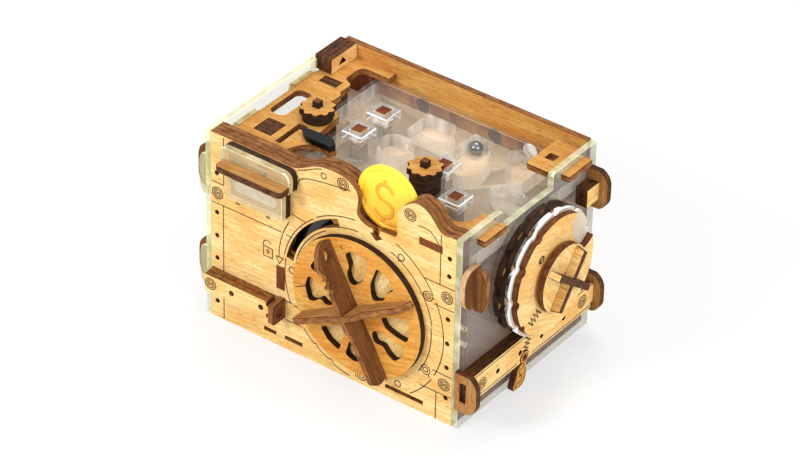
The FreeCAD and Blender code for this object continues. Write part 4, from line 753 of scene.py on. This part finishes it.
def tail_marks():
    """Strokes on the tail lever: a ring round its pin, two lines that curl along it, and a rim line."""
    y, z = TAIL_PIN
    return [
        ring((y, z), 1.9),
        bent((y - 2.2, z - 6.4), 1.5, 60, 300),
        bent((y - 3.4, z - 9.8), 1.7, -120, 120),
        bent((y - 4.9, z - 12.2), 1.2, 40, 280),
        bent((y - 1.4, z - 3.6), 1.0, -100, 110),
        line((y - 3.6, z - 3.4), (y - 4.9, z - 5.4), (y - 5.9, z - 8.5), (y - 7.1, z - 10.8),
             (y - 7.2, z - 13.3)),
        line((y + 0.4, z - 5.4), (y + 0.7, z - 9.2), (y + 0.2, z - 11.5), (y - 1.5, z - 13.1),
             (y - 3.7, z - 13.6)),
    ]


def dial_marks():
    """Strokes on the dial's face: teeth that run down to its rim and a small double ring."""
    return [
        *bold(zigzag((36.8, 47.4), (30.4, 43.4), 5.0, 4)),
        *bold(ring((37.0, 73.2), 1.6)),
        ring((37.0, 73.2), 0.7),
    ]


def wheel_marks():
    """Short strokes on the front wheel."""
    return [
        line((48.9, 38.4), (54.4, 41.4)),
        line((106.8, 55.4), (111.4, 57.0)),
        line((72.6, 70.6), (73.6, 68.4)),
        line((97.3, 13.2), (98.2, 11.5)),
    ]


# Each row: piece name, its strokes, how they lie, the face that carries them, and the body they ride on
MARK_GROUPS = [
    ("front_engraving", front_marks(), on_front, FRONT_FACE, "case"),
    ("beam_engraving", bolt_head((4.2, 21.4)), on_front, FRONT_BEAM_FACE, "case"),
    ("side_beam_engraving", beam_marks(), on_side, SIDE_BEAM_FACE, "case"),
    ("tail_engraving", tail_marks(), on_side, TAIL_FACE, "tail_lever"),
    ("wheel_engraving", wheel_marks(), on_front, WHEEL_FACE, "wheel"),
    ("dial_engraving", dial_marks(), on_side, DIAL_FACE, "dial"),
]


class SurfaceSettings(bpy.types.PropertyGroup):
    """Colours and small sizes that a user would change"""

    # The coin's colours paint light above and shade toward the foot; the sign's are deeper, painted shade
    # round the raised sign.
    coin_lit_top: bpy.props.FloatVectorProperty(
        name="Coin lit top", description="Colour of the coin above", subtype="COLOR",
        default=linear("#FBE43A")[:3])
    coin_shaded_foot: bpy.props.FloatVectorProperty(
        name="Coin shaded foot", description="Colour of the coin below", subtype="COLOR",
        default=linear("#EFA41A")[:3])
    sign_shade_top: bpy.props.FloatVectorProperty(
        name="Sign shade top", description="Colour of the coin's sign above", subtype="COLOR",
        default=linear("#EFB31C")[:3])
    sign_shade_foot: bpy.props.FloatVectorProperty(
        name="Sign shade foot", description="Colour of the coin's sign below", subtype="COLOR",
        default=linear("#DC8A10")[:3])
    line_width: bpy.props.FloatProperty(
        name="Line width", description="Width of an engraved line", default=0.0006, unit="LENGTH")
    coin_relief: bpy.props.FloatProperty(
        name="Coin relief", description="Height of the coin's rim and sign", default=0.0004, unit="LENGTH")


class COINBANK_OT_finishes(bpy.types.Operator):
    """Give every plate its plywood or acrylic finish"""

    bl_idname = "coinbank.finishes"
    bl_label = "Finishes"

    def execute(self, context):
        for name, facing, grain, wood, edge, seat, nodes in PLYWOOD:
            dress(nodes, plywood(name, facing, grain, wood, edge, seat))
        for name, facing, bevel, nodes, face, rim, wall, dark_reflection in ACRYLIC:
            dress(nodes, clear_acrylic(name, facing, face, rim, wall, dark_reflection), bevel)
        dress(["track_backing"], smooth_finish("black acrylic strip"))
        dress(["black_hook"], smooth_finish("black acrylic hook"))
        return {"FINISHED"}


class COINBANK_OT_engravings(bpy.types.Operator):
    """Lay the engraved lines as thin burnt strips on the wood"""

    bl_idname = "coinbank.engravings"
    bl_label = "Engravings"

    def execute(self, context):
        half = context.scene.coin_bank.line_width * METRE / 2
        section = [(-half, -SUNK), (-half * 0.8, PROUD), (half * 0.8, PROUD), (half, -SUNK)]
        material = smooth_finish("burnt engraving")
        for name, strokes, placed, face, body in MARK_GROUPS:
            points, faces = [], []
            for path, closed in strokes:
                stroke_points, stroke_faces = carried(section, path, closed)
                start = sum(len(part) for part in points)
                faces += [[corner + start for corner in each] for each in stroke_faces]
                points.append(stroke_points)
            make_piece(name, placed(np.concatenate(points), face), faces, material, body)
        return {"FINISHED"}


# The coin's centre, depth of its front face, radius, field, step up to the rim and edge rounding, and the
# half width of its sign, how far the sign reaches into the field and how far it lies off the centre
COIN_MIDDLE = (91.5, 98.2)
COIN_FRONT = 3.3
COIN_RADIUS = 15.5
COIN_FIELD = 13.3
COIN_STEP = 0.8
COIN_ROUND = 0.4
SIGN_HALF_WIDTH = 1.0
SIGN_SUNK = 0.2
SIGN_SHIFT = (-1.6, -1.4)


class COINBANK_OT_coin(bpy.types.Operator):
    """Make the coin with a raised rim and a raised money sign"""

    bl_idname = "coinbank.coin"
    bl_label = "Coin"

    def execute(self, context):
        settings = context.scene.coin_bank
        material = gold_colour("gold coloured coin", (*settings.coin_lit_top, 1.0), (*settings.coin_shaded_foot, 1.0))
        # The sign's deeper gold is painted shade round its relief, lighter above and darker toward its foot.
        sign = gold_colour("gold coloured coin sign", (*settings.sign_shade_top, 1.0), (*settings.sign_shade_foot, 1.0))
        relief = settings.coin_relief * METRE
        low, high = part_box("coin")
        half = (high[1] - low[1]) * METRE / 2
        middle = half + COIN_FRONT
        points, faces = self.blank(half, relief)
        disc = make_piece("coin_blank", self.stood(points, middle), faces, material, "coin", 40)
        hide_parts("coin")
        section = self.sign_section(half, relief)
        for side in (1, -1):
            for number, path in enumerate(self.sign()):
                raised, sides = carried(section, path, False)
                if side < 0:
                    raised = raised * (-1, 1, -1)
                name = f"coin_sign_{number}_{'front' if side > 0 else 'back'}"
                make_piece(name, self.stood(raised, middle), sides, sign, "coin", 50)
        return {"FINISHED"}

    def stood(self, points, middle):
        """Points (u, v, height) about the coin's centre, stood upright in its slot."""
        x = COIN_MIDDLE[0] + points[:, 0]
        y = middle - points[:, 2]
        z = COIN_MIDDLE[1] + points[:, 1]
        return np.stack([x, y, z], axis=-1)

    def blank(self, half, relief):
        """The coin turned from half its section, mirrored: a flat field, a raised rim and a rounded edge.

        The field's height is half minus relief. Over the step, t goes from 0 to 1 and the height rises by
        relief times (3 t squared minus 2 t cubed). The edge is a quarter circle.
        """
        step_end = COIN_FIELD + COIN_STEP
        flat_end = COIN_RADIUS - COIN_ROUND
        radius = np.concatenate([
            np.linspace(0, COIN_FIELD - 0.1, 8),
            np.linspace(COIN_FIELD, step_end, 9),
            np.linspace(step_end + 0.2, flat_end, 4),
        ])
        share = np.clip((radius - COIN_FIELD) / COIN_STEP, 0, 1)
        height = half - relief + relief * (3 * share ** 2 - 2 * share ** 3)
        turn = np.linspace(0, np.pi / 2, 6)[1:]
        radius = np.concatenate([radius, flat_end + COIN_ROUND * np.sin(turn)])
        height = np.concatenate([height, half - COIN_ROUND + COIN_ROUND * np.cos(turn)])
        whole_radius = np.concatenate([radius, radius[::-1]])[::-1]
        whole_height = np.concatenate([height, -height[::-1]])[::-1]
        return revolved(whole_radius, whole_height, 128)

    def sign_section(self, half, relief):
        """A low round back: height = field + 0.95 relief (cos(a pi / 2) to the power 0.6), a from -1 to 1."""
        across = np.linspace(-1, 1, 9)
        field = half - relief
        lift = field + relief * 0.95 * np.cos(across * math.pi / 2) ** 0.6
        back = np.stack([across * SIGN_HALF_WIDTH, lift], axis=-1)
        foot = field - SIGN_SUNK
        return np.concatenate([[[-SIGN_HALF_WIDTH, foot]], back, [[SIGN_HALF_WIDTH, foot]]])

    def sign(self):
        """Paths of a plain money sign: two arcs that meet in the middle, and a tick above and below."""
        upper = arc((0.0, 0.0), 3.9, 15, 270, 24) * (1.05, 1.0) + (0.3, 3.9)
        lower = arc((0.0, 0.0), 4.1, 90, -160, 24) * (1.15, 1.0) + (-0.3, -4.1)
        upper_tick = np.array([(0.3, 8.0), (0.3, 10.2)])
        lower_tick = np.array([(-0.3, -10.4), (-0.3, -8.4)])
        return [path + SIGN_SHIFT for path in (np.concatenate([upper, lower]), upper_tick, lower_tick)]


class COINBANK_OT_ball(bpy.types.Operator):
    """Make the steel ball of the maze"""

    bl_idname = "coinbank.ball"
    bl_label = "Ball"

    def execute(self, context):
        low, high = (np.array(corner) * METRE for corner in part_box("ball"))
        middle = (low + high) / 2 + (BOX_MIDDLE[0], BOX_MIDDLE[1], 0)
        radius = float(high[2] - low[2]) / 2
        rise = np.linspace(-np.pi / 2, np.pi / 2, 40)
        points, faces = revolved(radius * np.cos(rise), radius * np.sin(rise), 72)
        material = smooth_finish("polished steel")
        ball = make_piece("steel_ball", points + middle, faces, material, "ball", 60)
        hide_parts("ball")
        return {"FINISHED"}


# The pane's ends, the height of its middle, the radius of its ends and its thickness
PANE_LEFT = 15.3
PANE_RIGHT = 38.7
PANE_HEIGHT = 76.5
PANE_RADIUS = 2.7
PANE_THICKNESS = 0.06


class COINBANK_OT_slider_pane(bpy.types.Operator):
    """Make the grey pane in the slider's slot, a painted reflection seen through the clear sheets"""

    bl_idname = "coinbank.slider_pane"
    bl_label = "Slider reflection pane"

    def execute(self, context):
        """A flat plate whose outline is two half circles joined by straight lines."""
        left = (PANE_LEFT + PANE_RADIUS, PANE_HEIGHT)
        right = (PANE_RIGHT - PANE_RADIUS, PANE_HEIGHT)
        outline = np.concatenate([arc(right, PANE_RADIUS, -90, 90, 12), arc(left, PANE_RADIUS, 90, 270, 12)])
        count = len(outline)
        points = np.concatenate([
            np.column_stack([outline, np.full(count, high)]) for high in (0.0, PANE_THICKNESS)])
        near = np.arange(count)
        after = (near + 1) % count
        faces = np.stack([near, after, after + count, near + count], axis=-1).tolist()
        faces += [near[::-1].tolist(), (near + count).tolist()]
        points = on_front(points, SLIDER_SHEET_FACE)
        make_piece("slider_pane", points, faces, smooth_finish("painted slot reflection"), "slider")
        return {"FINISHED"}


# The spots' radius and height, and where each one is across the back plate
SPOT_RADIUS = 3.6
SPOT_HEIGHT = 79.0
SPOTS_ACROSS = (43.5, 82.2)


class COINBANK_OT_spots(bpy.types.Operator):
    """Make the two dark round marks on the inside of the back plate"""

    bl_idname = "coinbank.spots"
    bl_label = "Back plate spots"

    def execute(self, context):
        """A low round step, turned from a section that is a little narrower where it lies in the plate."""
        material = smooth_finish("dark spot")
        radius = np.array([0.0, SPOT_RADIUS - 0.2, SPOT_RADIUS, 0.0])
        height = np.array([-SUNK, -SUNK, PROUD, PROUD])
        for number, across in enumerate(SPOTS_ACROSS):
            points, faces = revolved(radius, height, 48)
            points = on_front(points + (across, SPOT_HEIGHT, 0.0), BACK_PLATE_FACE)
            make_piece(f"back_spot_{number}", points, faces, material, "case")
        return {"FINISHED"}


# Stage: pale floor, soft light and the camera at the photograph's angle

# Camera: angles in degrees, distance and shift of the aim in millimetres, focal length in pixels
AZIMUTH = 36.171
ELEVATION = 35.098
ROLL = 1.314
DISTANCE = 1797.23
AIM_SHIFT = (0.6, -2.345)
FOCAL_PIXELS = 4163.23
IMAGE_WIDTH = 800
SENSOR_WIDTH = 36.0

# Floor and world: how much of the floor's white is its own, its grey, half its width in metres, and the light
WHITE = (1.0, 1.0, 1.0, 1.0)
FLOOR_GLOW = 0.6
FLOOR_GREY = (0.9, 0.9, 0.9, 1.0)
FLOOR_REACH = 6.0
WORLD_STRENGTH = 0.6

# Each lamp: name, place and width in metres, and power in watts
LAMPS = [
    ("key", (-0.35, -0.95, 0.75), 0.35, 7.5),
    ("right fill", (1.0, -0.35, 0.55), 0.5, 6.0),
    ("top", (-0.1, 0.35, 1.1), 0.5, 4.0),
]
LAMP_AIM = (0.0, 0.0, 0.05)


class COINBANK_OT_stage(bpy.types.Operator):
    """Set the floor, the lights, the world and the camera"""

    bl_idname = "coinbank.stage"
    bl_label = "Stage"

    def execute(self, context):
        self.make_camera(context.scene)
        self.make_floor()
        self.make_lights(context.scene)
        context.scene.view_settings.view_transform = "Standard"
        return {"FINISHED"}

    def make_camera(self, scene):
        """The camera on a sphere round the box, aimed a little beside its middle and rolled a little."""
        turn = math.radians(AZIMUTH)
        rise = math.radians(ELEVATION)
        back = Vector((math.sin(turn) * math.cos(rise), -math.cos(turn) * math.cos(rise), math.sin(rise)))
        right = (-back).cross(Vector((0, 0, 1))).normalized()
        above = right.cross(-back)
        aim = Vector((0.0, 0.0, BODY_HEIGHT / 2 / METRE))
        aim += (right * AIM_SHIFT[0] + above * AIM_SHIFT[1]) / METRE
        lean = math.radians(ROLL)
        leaned_right = right * math.cos(lean) + above * math.sin(lean)
        leaned_up = above * math.cos(lean) - right * math.sin(lean)
        data = bpy.data.cameras.new("camera")
        data.sensor_fit = "HORIZONTAL"
        data.sensor_width = SENSOR_WIDTH
        data.lens = FOCAL_PIXELS * SENSOR_WIDTH / IMAGE_WIDTH
        data.clip_start = 0.05
        data.clip_end = 20.0
        camera = bpy.data.objects.new("camera", data)
        scene.collection.objects.link(camera)
        axes = Matrix((leaned_right, leaned_up, back)).transposed().to_4x4()
        axes.translation = aim + back * (DISTANCE / METRE)
        camera.matrix_world = axes
        scene.camera = camera

    def make_floor(self):
        """A wide pale plane, white to the camera, glossy and transmission rays but keeping the shadow."""
        reach = FLOOR_REACH
        mesh = bpy.data.meshes.new("floor")
        corners = [(-reach, -reach, 0), (reach, -reach, 0), (reach, reach, 0), (-reach, reach, 0)]
        mesh.from_pydata(corners, [], [(0, 1, 2, 3)])
        floor = bpy.data.objects.new("floor", mesh)
        bpy.context.scene.collection.objects.link(floor)
        material, tree, shader = start_material("white floor")
        shader.inputs["Base Color"].default_value = FLOOR_GREY
        shader.inputs["Roughness"].default_value = 0.9
        shader.inputs["Specular IOR Level"].default_value = 0.0
        white = add_node(tree, "ShaderNodeEmission", {"Color": WHITE, "Strength": 1.0})
        share = add_node(tree, "ShaderNodeMath", {0: self.sees_white(tree), 1: FLOOR_GLOW}, MULTIPLY)
        mixed = add_node(tree, "ShaderNodeMixShader", {0: share, 1: shader.outputs["BSDF"], 2: white})
        tree.links.new(mixed, tree.nodes["Material Output"].inputs["Surface"])
        mesh.materials.append(material)

    def sees_white(self, tree):
        """1 for camera, glossy and transmission rays, and 0 for the light that falls on the object."""
        rays = [add_node(tree, "ShaderNodeLightPath", output=name)
                for name in ("Is Camera Ray", "Is Glossy Ray", "Is Transmission Ray")]
        either = add_node(tree, "ShaderNodeMath", {0: rays[0], 1: rays[1]}, LARGER)
        return add_node(tree, "ShaderNodeMath", {0: either, 1: rays[2]}, LARGER)

    def make_lights(self, scene):
        """Soft light from all round, and large square lamps that draw the shadows and lights."""
        world = bpy.data.worlds.new("world")
        scene.world = world
        world.use_nodes = True
        tree = world.node_tree
        soft = add_node(tree, "ShaderNodeBackground", {"Color": WHITE, "Strength": WORLD_STRENGTH})
        white = add_node(tree, "ShaderNodeBackground", {"Color": WHITE, "Strength": 1.0})
        mixed = add_node(tree, "ShaderNodeMixShader", {0: self.sees_white(tree), 1: soft, 2: white})
        tree.links.new(mixed, tree.nodes["World Output"].inputs["Surface"])
        for name, place, width, power in LAMPS:
            self.add_lamp(scene, name, place, width, power)

    def add_lamp(self, scene, name, place, width, power):
        """A square lamp of a width, turned toward the object."""
        data = bpy.data.lights.new(name, "AREA")
        data.shape = "SQUARE"
        data.size = width
        data.energy = power
        lamp = bpy.data.objects.new(name, data)
        scene.collection.objects.link(lamp)
        lamp.location = place
        aim = Vector(LAMP_AIM) - Vector(place)
        lamp.rotation_euler = aim.to_track_quat("-Z", "Y").to_euler()


class COINBANK_PT_panel(bpy.types.Panel):
    """Lists the steps that dress the coin bank"""

    bl_idname = "COINBANK_PT_panel"
    bl_label = "Coin Bank"
    bl_space_type = "VIEW_3D"
    bl_region_type = "UI"
    bl_category = "Coin Bank"

    def draw(self, context):
        for step in STEPS:
            self.layout.operator(step.bl_idname)


STEPS = (COINBANK_OT_finishes, COINBANK_OT_engravings, COINBANK_OT_coin, COINBANK_OT_ball,
         COINBANK_OT_slider_pane, COINBANK_OT_spots, COINBANK_OT_stage)
CLASSES = (SurfaceSettings, *STEPS, COINBANK_PT_panel)


def register():
    for kind in CLASSES:
        bpy.utils.register_class(kind)
    bpy.types.Scene.coin_bank = bpy.props.PointerProperty(type=SurfaceSettings)


def unregister():
    del bpy.types.Scene.coin_bank
    for kind in reversed(CLASSES):
        bpy.utils.unregister_class(kind)


def main():
    """Register the add-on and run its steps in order."""
    register()
    for step in STEPS:
        category, name = step.bl_idname.split(".")
        getattr(getattr(bpy.ops, category), name)()


if __name__ == "__main__":
    main()
